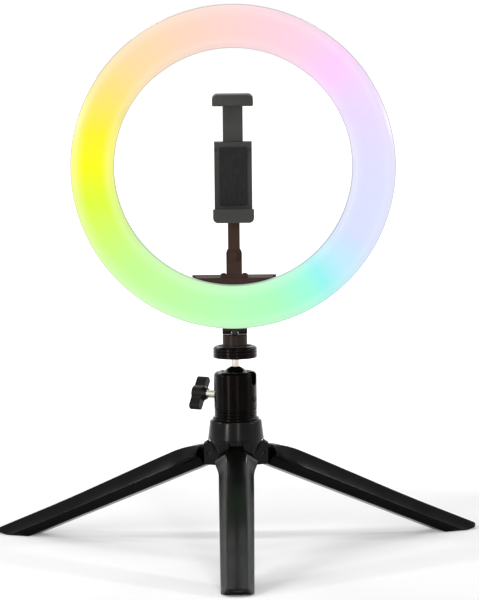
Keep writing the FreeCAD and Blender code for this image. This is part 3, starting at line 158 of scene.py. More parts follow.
satin_nylon = moulded("satin glass-filled nylon, black", "#050505", "#080807", 0.22, 1.6, 0.008, 0.06)
eroded_abs = moulded("spark-eroded ABS, black", "#060605", "#0A0A09", 0.22, 1.0, 0.008, 0.1)
housing_abs = moulded("fine-grained ABS housing, black", "#141414", "#1A1A1A", 0.5, 1.2, 0.045, 0.25)
knob_abs = moulded("handled ABS knob, charcoal", "#100E0D", "#171513", 0.28, 1.1, 0.015, 0.1)
brown_abs = moulded("moulded ABS, brown-black", "#1E1210", "#271815", 0.3, 1.1, 0.020, 0.1)
arm_abs = moulded("moulded ABS arm, dark brown", "#342520", "#3C2B25", 0.55, 1.1, 0.020, 0.06)
clamp_abs = moulded("soft-touch ABS clamp, charcoal", "#333431", "#3B3B38", 0.5, 1.0, 0.020, 0.1)
seat_nylon = moulded("natural nylon, milled", "#B9B4A8", "#C6C1B4", 0.4, 1.2, 0.010, 0.3)
washer_acetal = moulded("black acetal washer", "#080808", "#0C0C0C", 0.35, 1.2, 0.005, 0.08)
chip_epoxy = moulded("black epoxy", "#101010", "#161616", 0.55, 0.8, 0.010)
reflector_film = moulded("white reflector film", "#EDEEEC", "#F4F4F2", 0.35, 2.0, 0.005)
print("plastics ready")

# %% [markdown]
# ## Turned and anodised metal
# The ball head, its base, the disc and the flange are aluminium turned on a lathe and dyed black
# by anodising. The tool leaves fine rings round the axis, about 0.15 mm apart. They are drawn
# 0.5 mm apart so that they show, as a noise that changes quickly up the axis and out from it, and
# hardly round it. The dyed oxide is dark, and highlights on it are soft and brownish. The marks
# also stretch each reflection across themselves, into the long upright streaks of a turned barrel.

# %% Turned metal
def rings(tree, place, pitch):
    """A height that rises and falls with the tool's path round the stand's axis."""
    parts = add(tree, "ShaderNodeSeparateXYZ", {"Vector": place}).outputs
    flat = add(tree, "ShaderNodeCombineXYZ", {"X": parts["X"], "Y": parts["Y"]}).outputs["Vector"]
    radius = add(tree, "ShaderNodeVectorMath", {0: flat}, operation="LENGTH").outputs["Value"]
    path = add(tree, "ShaderNodeCombineXYZ", {"X": radius, "Z": parts["Z"]}).outputs["Vector"]
    return add(tree, "ShaderNodeTexNoise", {
        "Vector": path, "Scale": 1 / (pitch * mm), "Detail": 1}).outputs["Fac"]


def turned_metal(name, shade, worn, roughness, metallic, pitch, depth, coat=0.0, shine=0.5, drawn=0.0):
    """Lathe-turned metal: pitch and depth of the tool marks are in mm.

    drawn stretches its reflections along the axis, across the marks."""
    material, tree, place = new_finish(name)
    around = add(tree, "ShaderNodeTangent", {}, direction_type="RADIAL", axis="Z").outputs["Tangent"]
    tool_marks = rings(tree, place, pitch)
    wear = add(tree, "ShaderNodeTexNoise", {
        "Vector": place, "Scale": 1 / (9 * mm), "Detail": 4}).outputs["Fac"]
    tint = ramp(tree, wear, (0.4, colour(shade)), (0.75, colour(worn)))
    gloss = add(tree, "ShaderNodeMapRange", {
        "Value": tool_marks, "From Min": 0.3, "From Max": 0.7,
        "To Min": roughness - 0.03, "To Max": roughness + 0.05}).outputs["Result"]
    relief = add(tree, "ShaderNodeBump", {
        "Height": tool_marks, "Strength": 0.5, "Distance": depth * mm}).outputs["Normal"]
    surface(tree, add(tree, "ShaderNodeBsdfPrincipled", {
        "Base Color": tint, "Roughness": gloss, "Normal": relief, "Metallic": metallic,
        "Coat Weight": coat, "Coat Roughness": 0.06, "Specular IOR Level": shine,
        "Anisotropic": drawn, "Anisotropic Rotation": 0.25, "Tangent": around}))
    return material


black_anodised = turned_metal(
    "black anodised aluminium, turned", "#0B0908", "#0F0C0B", 0.3, 0.9, 0.5, 0.004, shine=0.1, drawn=0.85)
disc_anodised = turned_metal(
    "black anodised aluminium disc", "#110D0F", "#171213", 0.26, 0.9, 0.5, 0.005, shine=0.1, drawn=0.85)
lacquered_ball = turned_metal(
    "lacquered ball, polished black", "#080706", "#0C0A08", 0.15, 0.2, 2.0, 0.001, coat=1.0, shine=0.2)
bright_steel = turned_metal("turned steel, bright", "#B9B5A8", "#C6C2B5", 0.24, 1.0, 0.4, 0.006)
dark_steel = turned_metal("blackened steel", "#1C1C1D", "#2A2A2B", 0.35, 1.0, 0.5, 0.005)
spring_steel = turned_metal("drawn spring steel", "#8C8C8A", "#9C9B98", 0.28, 1.0, 0.6, 0.002)
machined_brass = turned_metal("machined brass", "#C79A4B", "#D8AE60", 0.25, 1.0, 0.4, 0.006)
print("metals ready")

# %% [markdown]
# ## Rubber
# The feet and the clamp's pads are moulded black rubber: dull, a little dusty and grey on top, with
# fine grip ribs about 1.2 mm apart pressed into the face that touches the phone or the table.

# %% Rubber with grip ribs
WAVE_PERIOD = 1 / math.pi  # about how many metres lie between the bands when the scale is 1


def ribbed_rubber(name, shade, dusty, rib, direction):
    """rib is the distance between ribs in mm, and direction the axis that they follow each other on."""
    material, tree, place = new_finish(name)
    ribs = add(tree, "ShaderNodeTexWave", {
        "Vector": place, "Scale": WAVE_PERIOD / (rib * mm)}, bands_direction=direction).outputs["Fac"]
    dust = add(tree, "ShaderNodeTexNoise", {
        "Vector": place, "Scale": 1 / (3 * mm), "Detail": 5}).outputs["Fac"]
    tint = ramp(tree, dust, (0.4, colour(shade)), (0.8, colour(dusty)))
    relief = add(tree, "ShaderNodeBump", {
        "Height": ribs, "Strength": 0.7, "Distance": 0.15 * mm}).outputs["Normal"]
    surface(tree, add(tree, "ShaderNodeBsdfPrincipled", {
        "Base Color": tint, "Roughness": 0.75, "Normal": relief, "IOR": 1.52,
        "Sheen Weight": 0.05, "Specular IOR Level": 0.15}))
    return material


grip_rubber = ribbed_rubber("ribbed black rubber", "#151515", "#1F1F1E", 1.2, "X")
print("rubber ready")

# %% [markdown]
# ## Circuit boards
# Inside the ring lies a white laminate board with its LEDs, and in the box behind it a green
# controller board. Both are glass-fibre laminate under a smooth solder mask, with copper tracks
# that stand a little proud: a blocky Voronoi pattern at 4 mm gives the tracks' layout.

# %% Laminate under solder mask
def laminate(name, mask, track):
    material, tree, place = new_finish(name)
    cells = add(tree, "ShaderNodeTexVoronoi", {
        "Vector": place, "Scale": 1 / (4 * mm)}, distance="CHEBYCHEV").outputs["Distance"]
    copper = ramp(tree, cells, (0.42, colour(mask)), (0.5, colour(track)))
    relief = add(tree, "ShaderNodeBump", {
        "Height": copper, "Strength": 0.3, "Distance": 0.04 * mm}).outputs["Normal"]
    surface(tree, add(tree, "ShaderNodeBsdfPrincipled", {
        "Base Color": copper, "Roughness": 0.35, "Normal": relief, "IOR": 1.55}))
    return material


white_board = laminate("white solder mask on laminate", "#E6E7E3", "#D9DAD4")
green_board = laminate("green solder mask on laminate", "#12492B", "#1C6B3D")
print("boards ready")

# %% [markdown]
# ## The glow
# The ring's front is opal acrylic, 2 mm thick. The LEDs behind it are far enough back to melt into
# one band, and their colour drifts round the ring like a paint wheel. The milky sheet glows with
# that colour, so the colour is worked out from the angle round the ring's centre and used twice:
# as light given off, and as the tint of the little studio light that the sheet sends back. Towards
# the rims the colour is a little paler. On the last half millimetre, where the sheet turns back,
# both the glow and the tint are painted grey: painted shade for the darker turned-back edge.

# %% The lamp's centre and its band
lamp_low, lamp_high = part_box("rear_housing")
LAMP_RADIUS = (lamp_high[0] - lamp_low[0]) / 2
LAMP_HEIGHT = lamp_high[2] - LAMP_RADIUS
BAND = 35 * mm
MID_BAND = LAMP_RADIUS - BAND / 2
# The last two distances bound the painted shade on the turned-back rims.
PALER_FROM, PALER_TO, RIM_SHADE_FROM, RIM_SHADE_TO = 6 * mm, 17.5 * mm, 16.6 * mm, 17.4 * mm  # from the band's middle
HUE_DRIFT = 0.02  # how far, in turns, the colours wander
print("lamp radius", round(LAMP_RADIUS, 4), "centre height", round(LAMP_HEIGHT, 4))

# %% [markdown]
# The lamp is set to a rainbow. This list holds a colour for each of a few angles round the ring,
# and the opal material takes from it what it shows.

# %% The glow's colours, by degrees from the right-hand side, upwards over the top
GLOW = [
    (0, "#DFDEFE"), (30, "#EED8FF"), (45, "#FFCDFE"), (60, "#FED3E6"), (75, "#FED3DC"),
    (105, "#FDD7C4"), (135, "#FFDEA2"), (150, "#FDE579"), (165, "#FFF429"), (180, "#FBFD02"),
    (195, "#DFFF3A"), (225, "#C6FF92"), (270, "#B8FFB9"), (285, "#AFFFC0"), (300, "#A0FFDC"),
    (308, "#96F6F2"), (317, "#BFEEFF"), (330, "#D8E1FE"), (360, "#DFDEFE")]
print("glow colours", len(GLOW))

# %% [markdown]
# The front is an opal sheet lit from behind. A picture could hold the rainbow, but the angle and
# the distance from the ring's centre are enough to work it out, so the material does that with a
# few nodes and stays sharp at any size.

# %% Opal acrylic
def opal_acrylic():
    material, tree, place = new_finish("opal acrylic, lit from behind")
    middle = add(tree, "ShaderNodeVectorMath", {
        0: place, 1: (0, 0, LAMP_HEIGHT)}, operation="SUBTRACT").outputs["Vector"]
    parts = add(tree, "ShaderNodeSeparateXYZ", {"Vector": middle}).outputs
    angle = add(tree, "ShaderNodeMath", {
        0: parts["Z"], 1: parts["X"]}, operation="ARCTAN2").outputs["Value"]
    turns = add(tree, "ShaderNodeMath", {0: angle, 1: 2 * math.pi}, operation="DIVIDE").outputs["Value"]
    drift = add(tree, "ShaderNodeTexNoise", {
        "Vector": place, "Scale": 1 / (60 * mm), "Detail": 1}).outputs["Fac"]
    shifted = add(tree, "ShaderNodeMath", {
        0: drift, 1: HUE_DRIFT, 2: turns}, operation="MULTIPLY_ADD").outputs["Value"]
    wrapped = add(tree, "ShaderNodeMath", {
        0: shifted, 1: HUE_DRIFT / 2}, operation="SUBTRACT").outputs["Value"]
    part = add(tree, "ShaderNodeMath", {0: wrapped, 1: 1.0}, operation="FLOORED_MODULO").outputs["Value"]
    hue = ramp(tree, part, *[(degrees / 360, colour(code)) for degrees, code in GLOW])
    flat = add(tree, "ShaderNodeCombineXYZ", {"X": parts["X"], "Z": parts["Z"]}).outputs["Vector"]
    radius = add(tree, "ShaderNodeVectorMath", {0: flat}, operation="LENGTH").outputs["Value"]
    off_middle = add(tree, "ShaderNodeMath", {
        0: radius, 1: MID_BAND}, operation="SUBTRACT").outputs["Value"]
    distance = add(tree, "ShaderNodeMath", {0: off_middle}, operation="ABSOLUTE").outputs["Value"]
    paler = add(tree, "ShaderNodeMapRange", {
        "Value": distance, "From Min": PALER_FROM, "From Max": PALER_TO, "To Max": 0.25},
        interpolation_type="SMOOTHSTEP").outputs["Result"]
    even = add(tree, "ShaderNodeMix", {0: paler, 6: hue, 7: (1, 1, 1, 1)}, data_type="RGBA").outputs[2]
    # painted shade: the glow and the sheet's tint turn grey on the turned-back rims
    rim = add(tree, "ShaderNodeMapRange", {
        "Value": distance, "From Min": RIM_SHADE_FROM, "From Max": RIM_SHADE_TO, "To Max": 0.7}).outputs["Result"]
    light = add(tree, "ShaderNodeMix", {
        0: rim, 6: even, 7: colour("#8C8C90")}, data_type="RGBA").outputs[2]
    sheet = add(tree, "ShaderNodeMix", {0: 0.82, 6: light, 7: (0, 0, 0, 1)}, data_type="RGBA").outputs[2]
    surface(tree, add(tree, "ShaderNodeBsdfPrincipled", {
        "Base Color": sheet, "Roughness": 0.3, "IOR": 1.49, "Specular IOR Level": 0.2,
        "Emission Color": light, "Emission Strength": 0.77}))
    return material


lit_acrylic = opal_acrylic()

# %% [markdown]
# An LED package is a white cup filled with silicone that holds yellow phosphor. At 5 mm a package
# needs no modelled cup: a noise in the yellow shows the cast silicone.

# %% LED packages
def phosphor():
    material, tree, place = new_finish("LED phosphor in silicone")
    cast = add(tree, "ShaderNodeTexNoise", {"Vector": place, "Scale": 1 / (1.5 * mm)}).outputs["Fac"]
    tint = ramp(tree, cast, (0.3, colour("#E9D36A")), (0.7, colour("#F3E9B4")))
    surface(tree, add(tree, "ShaderNodeBsdfPrincipled", {
        "Base Color": tint, "Roughness": 0.3, "Emission Color": tint, "Emission Strength": 0.6}))
    return material


led_phosphor = phosphor()
print("finishes", len(bpy.data.materials))

# %% [markdown]
# ## Turning, lofting and easing by code
# Three ways make nearly every piece. Turning spins a closed outline round an axis, as a lathe
# does. Lofting joins a row of sections of equal point count. Easing rounds the corners of an
# outline before it is used, because no real edge is sharp: the small arc is what catches the
# light. For the many small moulded parts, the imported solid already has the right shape. Its mesh
# is welded, its flat faces are joined, and a bevel breaks the edges.

# %% Outlines
def eased(corners, radius, steps=4):
    """A closed outline with its corners rounded. A corner may carry its own radius as a third value."""
    out = []
    count = len(corners)
    for i, corner in enumerate(corners):
        here = Vector(corner[:2])
        before = Vector(corners[i - 1][:2]) - here
        after = Vector(corners[(i + 1) % count][:2]) - here
        wanted = corner[2] if len(corner) > 2 else radius
        turn = before.angle(after, math.pi)
        reach = min(wanted / max(math.tan(turn / 2), 1e-3), before.length * 0.48, after.length * 0.48)
        start = here + before.normalized() * reach
        end = here + after.normalized() * reach
        for k in range(steps + 1):
            s = k / steps
            out.append(start * (1 - s) ** 2 + here * 2 * s * (1 - s) + end * s ** 2)
    return [(p.x, p.y) for p in out]


# %% [markdown]
# Every mesh made here stands for one or more imported solids. This helper turns its millimetres into
# metres and lets it ride on the solids' body.

# %% From points and faces to a piece on its body
def piece(name, points, faces, material, *nodes, sharp=38):
    """A mesh in millimetres that stands for the named nodes and rides on their body."""
    mesh = bpy.data.meshes.new(name)
    mesh.from_pydata([Vector(p) * mm for p in points], [], faces)
    mesh.validate()
    bm = bmesh.new()
    bm.from_mesh(mesh)
    bmesh.ops.recalc_face_normals(bm, faces=bm.faces)
    bm.to_mesh(mesh)
    bm.free()
    mesh.shade_smooth()
    mesh.set_sharp_from_angle(angle=math.radians(sharp))
    mesh.materials.append(material)
    made = bpy.data.objects.new(name, mesh)
    scene.collection.objects.link(made)
    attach(made, BODY[nodes[0]])
    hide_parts(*nodes)
    return made


def turned(name, outline, material, *nodes, steps=128, frame_of=Matrix.Identity(4), sharp=38):
    """Spins a closed (radius, height) outline round Z, then places it."""
    points, faces = [], []
    count = len(outline)
    for i in range(steps):
        a = 2 * math.pi * i / steps
        points += [frame_of @ Vector((r * math.cos(a), r * math.sin(a), h)) for r, h in outline]
    for i in range(steps):
        j = (i + 1) % steps
        for k in range(count):
            m = (k + 1) % count
            faces.append((i * count + k, j * count + k, j * count + m, i * count + m))
    return piece(name, points, faces, material, *nodes, sharp=sharp)


def lofted(sections):
    """Points and faces through closed sections of equal length, with both ends capped."""
    count = len(sections[0])
    points = [p for section in sections for p in section]
    faces = [tuple(range(count))[::-1], tuple(range(len(points) - count, len(points)))]
    for i in range(len(sections) - 1):
        for k in range(count):
            m = (k + 1) % count
            faces.append((i * count + k, i * count + m, (i + 1) * count + m, (i + 1) * count + k))
    return points, faces


# %% [markdown]
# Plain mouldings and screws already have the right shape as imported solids. What they lack is the
# small radius of every real edge. So the mesh is copied, its flat faces are joined again, and a
# bevel rounds the edges that are sharper than a given angle. A dish sinks the broad faces a little.

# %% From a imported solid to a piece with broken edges
WELD, SAME_FACE, BREAK_ABOVE = 0.002 * mm, math.radians(0.6), math.radians(32)


def solid_with_broken_edges(node, material, width, segments=3, dish=None):
    """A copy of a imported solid, welded, with its edges rounded to a width in mm.

    dish is (least area, margin, depth) for broad side faces that are sunk inside a raised rim."""
    source = bmesh.new()
    source.from_mesh(frame["nodes"][node].data)
    bmesh.ops.remove_doubles(source, verts=source.verts, dist=WELD)
    bmesh.ops.dissolve_limit(source, angle_limit=SAME_FACE, verts=source.verts, edges=source.edges)
    if dish:
        area, margin, depth = dish
        broad = [f for f in source.faces if f.calc_area() > area * mm * mm and abs(f.normal.x) < 0.5]
        bmesh.ops.inset_individual(source, faces=broad, thickness=margin * mm, depth=-depth * mm)
    source.verts.index_update()
    points = [v.co / mm for v in source.verts]
    faces = [[v.index for v in f.verts] for f in source.faces]
    source.free()
    made = piece(f"{node}_finished", points, faces, material, node)
    bevel = made.modifiers.new("broken edges", "BEVEL")
    bevel.width = width * mm
    bevel.segments = segments
    bevel.limit_method = "ANGLE"
    bevel.angle_limit = BREAK_ABOVE
    bevel.miter_outer = "MITER_ARC"
    flats = made.modifiers.new("flat faces stay flat", "WEIGHTED_NORMAL")
    flats.keep_sharp = True
    return made


# %% [markdown]
# ## The legs
# Each leg is one nylon moulding: a round neck at the hub that spreads into a shoulder, then a long
# bar with a flat crest, steep flanks and a thin groove under its widest line. The tip turns up
# from the sole. One section with a few sizes describes it all, and the sizes glide along the leg,
# so a loft through about fifty sections gives both the soft neck and the crisp bar. The sections
# stand in the leg's own axes, and one matrix puts them at the pivot.

# %% Leg sections
PIVOT_RADIUS, PIVOT_HEIGHT, LEG_SLOPE = 17.0, 80.0, math.radians(22.5)
LEG_END, SOLE_START, SOLE_END, KEEL = 222.15, 193.1, 211.0, 6.6
TONGUE_HALF, TONGUE_ROUND, TONGUE_UNDER = 5.4, 7.6, 4.9
LEG_ROOT, LEG_AZIMUTH = 11.2, {"front": -90, "right": 30, "left": 150}
# each row: place along the leg, crest half, widest half, crest height, keel half, roundness
LEG_SIZES = [
    (LEG_ROOT, 6.4, 15.4, 10.0, 9.0, 0.3), (13, 7.4, 16.9, 10.8, 10.0, 0.12),
    (16, 8.2, 17.3, 11.6, 10.8, 0.04), (20, 8.5, 16.7, 12.4, 11.2, 0.0), (26, 8.6, 15.2, 13.1, 11.5, 0.0),
    (33, 8.6, 14.2, 13.5, 11.5, 0.0), (53, 8.5, 14.1, 13.1, 11.4, 0.0), (94, 8.4, 13.9, 11.8, 11.2, 0.0),
    (135, 8.3, 13.6, 10.5, 11.0, 0.0), (165, 8.2, 13.4, 10.0, 10.8, 0.0),
    (LEG_END, 7.9, 12.9, 9.8, 10.2, 0.0)]
print("leg from", LEG_ROOT, "to", LEG_END, "mm, rows", len(LEG_SIZES))


def between_rows(x):
    """The row of sizes at a place, straight between its two neighbours."""
    rows = LEG_SIZES
    x = min(max(x, rows[0][0]), rows[-1][0])
    i = max(k for k in range(len(rows) - 1) if rows[k][0] <= x)
    s = (x - rows[i][0]) / (rows[i + 1][0] - rows[i][0])
    return [a * (1 - s) + b * s for a, b in zip(rows[i][1:], rows[i + 1][1:])]


def leg_sizes(x):
    """The section's sizes at a place along the leg, averaged over 3 mm so that the rows blend."""
    near = [between_rows(x + step) for step in (-1.5, -0.75, 0, 0.75, 1.5)]
    return [sum(column) / len(near) for column in zip(*near)]


# %% [markdown]
# A section is a closed outline across the leg, worked out from the sizes at its place: the crest,
# the flank down to the widest line, a shallow groove under that line, and the keel. The root and
# the tip have corrections of their own.

# %% One section of a leg
FLANK_SHARE, FLANK_RISE, ROOT_ENDS = 0.6, 3.6, 40.0  # the widest line's height, and its rise near the root
TOE_RISE, TOE_TOP, TOE_NARROWS = 0.6, 219.0, 216.5   # the tip's upturn, and where it drops and narrows
CREST_CROWN = 0.28


def floor_line(x):
    """The table's height in the leg's own axes."""
    return x * math.tan(LEG_SLOPE) - PIVOT_HEIGHT / math.cos(LEG_SLOPE)


def leg_section(x):
    crest, half, top, keel, roundness = leg_sizes(x)
    bottom = max(-KEEL, floor_line(min(x, SOLE_END)) + 0.02) + max(0, x - SOLE_END) * TOE_RISE
    top -= 0.6 * max(0, (x - TOE_TOP) / 3.4) ** 2
    near_root = max(0.0, (ROOT_ENDS - x) / (ROOT_ENDS - LEG_ROOT))
    flank = max(top - FLANK_SHARE * (top + KEEL) + FLANK_RISE * near_root, bottom + 1.0)
    half -= (half - crest) * max(0, (flank - 1.5) / (top - 1.5)) * 0.8 * (x > 150)
    groove = min(1.0, (flank - bottom) * 0.25)
    near_tip = max(0.0, (x - TOE_NARROWS) / (LEG_END - TOE_NARROWS))
    narrow = (1 - 0.5 * near_tip ** 2.4)
    side = [
        (crest, top, 1.8), (half, flank, 1.7), (half - 0.2, flank - groove * 1.2, 0.3),
        (half - 0.9 * groove, flank - groove * 1.6, 0.2), (half - 0.9 * groove, flank - groove * 2.2, 0.2),
        (min(keel + 0.9, half - 0.5), flank - groove * 3.0, 0.4), (keel, bottom, 1.0)]
    outline = side + [(-y, z, r) for y, z, r in reversed(side)]
    middle = (top + bottom) / 2
    out = []
    for y, z in eased(outline, 0.5, steps=3):
        lift = CREST_CROWN * (1 - (y / crest) ** 2) if z > top - 0.6 and abs(y) < crest else 0
        a = math.atan2((z - middle) / (top - bottom), y / (2 * half))
        oval = (half * math.cos(a), middle + (top - bottom) / 2 * math.sin(a))
        out.append((x, narrow * (y * (1 - roundness) + oval[0] * roundness),
                    (z + lift) * (1 - roundness) + oval[1] * roundness))
    return out


def leg_place(azimuth):
    """From the leg's own axes to the stand's."""
    return (Matrix.Rotation(math.radians(azimuth), 4, "Z")
            @ Matrix.Translation((PIVOT_RADIUS, 0, PIVOT_HEIGHT))
            @ Matrix.Rotation(LEG_SLOPE, 4, "Y"))


# %% [markdown]
# The leg ends in a tongue that turns in the hub's clevis. It is a plate with a hole for the pin and
# a round end about it, so two loops of points, the hole and the rim, give all of its faces.

# %% The tongue
PIN_HOLE, TONGUE_REACH = 2.05, 15


def tongue():
    """A plate with a rounded end round the pin's hole, as points and faces."""
    inner, outer, count = [], [], 48
    for k in range(count):
        a = 2 * math.pi * (k + 0.5) / count
        c, s = math.cos(a), math.sin(a)
        reach = TONGUE_ROUND
        if c > 0:
            reach = min(TONGUE_REACH / c, TONGUE_ROUND / s if s > 0 else TONGUE_UNDER / -s)
            reach = max(reach, TONGUE_ROUND) if s > 0 or c > 0.76 else reach
        inner.append((PIN_HOLE * c, PIN_HOLE * s))
        outer.append((reach * c, reach * s))
    points = [(x, y, z) for y in (-TONGUE_HALF, TONGUE_HALF) for loop in (inner, outer) for x, z in loop]
    faces = []
    for k in range(count):
        m = (k + 1) % count
        for a, b in ((0, 1), (1, 3), (3, 2), (2, 0)):
            faces.append((a * count + k, a * count + m, b * count + m, b * count + k))
    return points, faces


# %% [markdown]
# The sections lie close together near the root and the tip, where the shape changes fast, and
# further apart between them. One leg is made for each of the hub's three lobes.

# %% Three legs
STATIONS = ([LEG_ROOT + 38.8 * k / 26 for k in range(26)] + [50 + 9 * k for k in range(16)]
            + [SOLE_START, 199, 205, SOLE_END, 213, 215, 217, 219, 220.2, 221.2, 221.9, LEG_END])
for side, azimuth in LEG_AZIMUTH.items():
    bar_points, bar_faces = lofted([leg_section(x) for x in STATIONS])
    lug_points, lug_faces = tongue()
    start = len(bar_points)
    where = leg_place(azimuth)
    points = [where @ Vector(p) for p in bar_points + lug_points]
    faces = bar_faces + [tuple(start + i for i in face) for face in lug_faces]
    leg = piece(f"leg_{side}_moulding", points, faces, satin_nylon, f"leg_{side}", sharp=30)
    print(leg.name, len(leg.data.vertices), "points")

# %% [markdown]
# The rubber feet are slabs let into the soles. Only their lower face and edges ever show, so the
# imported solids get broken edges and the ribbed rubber. The hub is a moulding that swells out from
# under the collar into three lobes. The lobes' tops slope up to meet the collar, so the copied
# solid's top corners are lifted to it.

# %% Feet, hub and its fasteners
LOBE_TOP, COLLAR_OUT, LOBE_LIFT, LOBE_FALL = 88.0 * mm, 20.9, 3.75, 0.5
for side in LEG_AZIMUTH:
    solid_with_broken_edges(f"rubber_foot_{side}", grip_rubber, 0.4)
hub = solid_with_broken_edges("hub_spider", eroded_abs, 0.9)
for point in hub.data.vertices:
    out = math.hypot(point.co.x, point.co.y) / mm
    if abs(point.co.z - LOBE_TOP) < 0.05 * mm and out > COLLAR_OUT:
        point.co.z += (LOBE_LIFT - LOBE_FALL * (out - COLLAR_OUT)) * mm
solid_with_broken_edges("hub_plug", eroded_abs, 0.3)
solid_with_broken_edges("tripod_stud", dark_steel, 0.3)
solid_with_broken_edges("leg_pins", dark_steel, 0.3)
solid_with_broken_edges("slip_washer", washer_acetal, 0.1)
print("hub", len(hub.data.vertices), "points")

# %% [markdown]
# ## The collar and the base
# The collar is a cone-shaped ABS cover with a small rounded top edge. Above it sit a thin flange
# and the ball head's grooved base. All three are turned shapes, so an eased outline is spun round
# the stand's axis. Each corner is its radius, its height and, where it differs, its rounding.

# %% Collar, flange and base
BORE, FLANGE_LOW, FLANGE_TOP, BASE_TOP, HUB_BOSS_TOP = 3.3, 107.1, 109.4, 116.5, 121.2
BASE_OUT, GROOVE_IN, BOSS_OUT = 17.15, 16.5, 11.6
turned("collar_cover", eased([
    (BORE, FLANGE_LOW), (20.05, FLANGE_LOW, 0.9), (20.85, 106.3, 0.9), (22.6, 91.9, 0.5), (17.2, 91.85),
    (17.2, 97.5), (BORE, 97.5)], 0.2), eroded_abs, "hub_collar")
turned("flange_plate", eased([
    (BORE, FLANGE_LOW), (18.75, FLANGE_LOW, 0.4), (18.75, FLANGE_TOP, 0.6), (BORE, FLANGE_TOP)], 0.1),
    black_anodised, "swivel_flange")


def groove_at(z):
    """A groove in the base's side, 0.7 mm wide, from a height upwards."""
    return [(BASE_OUT, z, 0.15), (GROOVE_IN, z + 0.15, 0.1), (GROOVE_IN, z + 0.55, 0.1),
            (BASE_OUT, z + 0.7, 0.15)]


turned("grooved_base", eased(
    [(BORE, FLANGE_TOP), (BASE_OUT, FLANGE_TOP, 0.3)] + groove_at(111.4) + groove_at(113.9)
    + [(BASE_OUT, BASE_TOP, 0.4), (BOSS_OUT, BASE_TOP, 0.1), (BOSS_OUT, HUB_BOSS_TOP, 0.2),
       (BORE, HUB_BOSS_TOP)], 0.1),
    black_anodised, "head_base")

# %% [markdown]
# ## The ball head
# The barrel is one turned and milled part: a domed top, a mouth for the ball, a slot that the stem
# drops into, and cross holes for the knob's shaft and the screw that stops the seat from turning.
# Those cuts make it hard to spin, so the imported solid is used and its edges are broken. The ball is
# a sphere with a small flat and a shoulder where the stem screws in, lacquered and polished.

# %% Barrel and seat
solid_with_broken_edges("head_body", black_anodised, 0.4, segments=4)
solid_with_broken_edges("ball_seat", seat_nylon, 0.2)
solid_with_broken_edges("seat_screw", dark_steel, 0.4)

# %% [markdown]
# The ball and its stem are turned as well. A loop works out the ball's arc, and the stem is a plain
# rod, without the ridges of its thread.

# %% Ball and stem
BALL_HEIGHT, BALL_RADIUS, STEM_RADIUS = 139.3, 11.6, 3.175
ball_side = [
    (BALL_RADIUS * math.sin(math.radians(a)), BALL_HEIGHT - BALL_RADIUS * math.cos(math.radians(a)))
    for a in range(6, 160, 4)]
turned("polished_ball", [(0.6, ball_side[0][1])] + ball_side
       + [(3.9, 150.3), (3.25, 150.45), (3.25, 144.2), (0.6, 144.2)], lacquered_ball, "ball")
turned("turned_stem", eased([
    (0.4, 144.05, 0.1), (STEM_RADIUS, 144.05, 0.1), (STEM_RADIUS, 172.6, 0.3), (2.7, 173.0, 0.2),
    (0.4, 173.0, 0.1)], 0.1), bright_steel, "ball_stem", steps=64)
print("ball", 2 * BALL_RADIUS, "mm across, stem", 2 * STEM_RADIUS)

# %% [markdown]
# The lock disc is a turned nut. Its rim carries two grip grooves between three raised bands, and a
# wide bevel on top that catches the lamps. A rubber washer is let into its face.

# %% Lock disc
DISC_LOW, DISC_HIGH, DISC_OUT, DISC_GROOVE = 157.6, 166.9, 17.75, 0.6
DISC_BEVEL, PAD_OUT, PAD_SUNK = 1.7, 13.6, 1.15
turned("grooved_disc", eased([
    (BORE, DISC_LOW), (DISC_OUT - 0.5, DISC_LOW, 0.3), (DISC_OUT, DISC_LOW + 0.6, 0.3),
    (DISC_OUT, 160.2, 0.15), (DISC_OUT - DISC_GROOVE, 160.4, 0.1), (DISC_OUT - DISC_GROOVE, 160.8, 0.1),
    (DISC_OUT, 161.0, 0.15), (DISC_OUT, 162.9, 0.15), (DISC_OUT - DISC_GROOVE, 163.1, 0.1),
    (DISC_OUT - DISC_GROOVE, 163.5, 0.1), (DISC_OUT, 163.7, 0.15), (DISC_OUT, DISC_HIGH - DISC_BEVEL, 0.5),
    (DISC_OUT - DISC_BEVEL, DISC_HIGH, 0.5), (PAD_OUT, DISC_HIGH, 0.2), (PAD_OUT, DISC_HIGH - PAD_SUNK),
    (BORE, DISC_HIGH - PAD_SUNK)], 0.15), disc_anodised, "lock_disc")
solid_with_broken_edges("disc_pad", grip_rubber, 0.2)
print("disc", 2 * DISC_OUT, "mm across")

# %% [markdown]
# The knob's shaft is bright turned steel with a small cone where it enters the wing. The wing is a
# two-armed moulding that leans as the clamp happens to be tightened. Each arm is a rounded block
# with a slight dish in its middle.

# %% Knob
KNOB_DISH = (40, 1.3, 0.5)  # faces over 40 mm2 are sunk 0.5 mm inside a rim 1.3 mm wide
solid_with_broken_edges("knob_shaft", bright_steel, 0.3)
wing = solid_with_broken_edges("wing_knob", knob_abs, 0.5, segments=4, dish=KNOB_DISH)
print("wing", len(wing.data.vertices), "points")

# %% [markdown]
# The post under the lamp is a brown-black moulding over a brass insert, which takes the stem's
# thread. A steel pin joins it to the housing's two ears, which are given the post's brown. The post's
# tongue between them is painted the housing's black, as painted shade for the dark slot between the
# ears. So one mesh has two finishes there: the faces above or below a height get the second one.

# %% The lamp's mount
POST_TOP, EAR_TOP = 176.3 * mm, 181.6 * mm


def paint_where(part, finish, belongs):
    """Gives a second finish to the faces whose middle passes a test."""
    part.data.materials.append(finish)
    for face in part.data.polygons:
        if belongs(face.center):
            face.material_index = 1


post = solid_with_broken_edges("mount_post", brown_abs, 0.4)
# painted shade: the tongue above the post's top is painted black for the dark slot between the ears
paint_where(post, housing_abs, lambda middle: middle.z > POST_TOP)
solid_with_broken_edges("thread_insert", machined_brass, 0.15)
solid_with_broken_edges("tilt_pin", black_anodised, 0.3)
print("stand and head done")

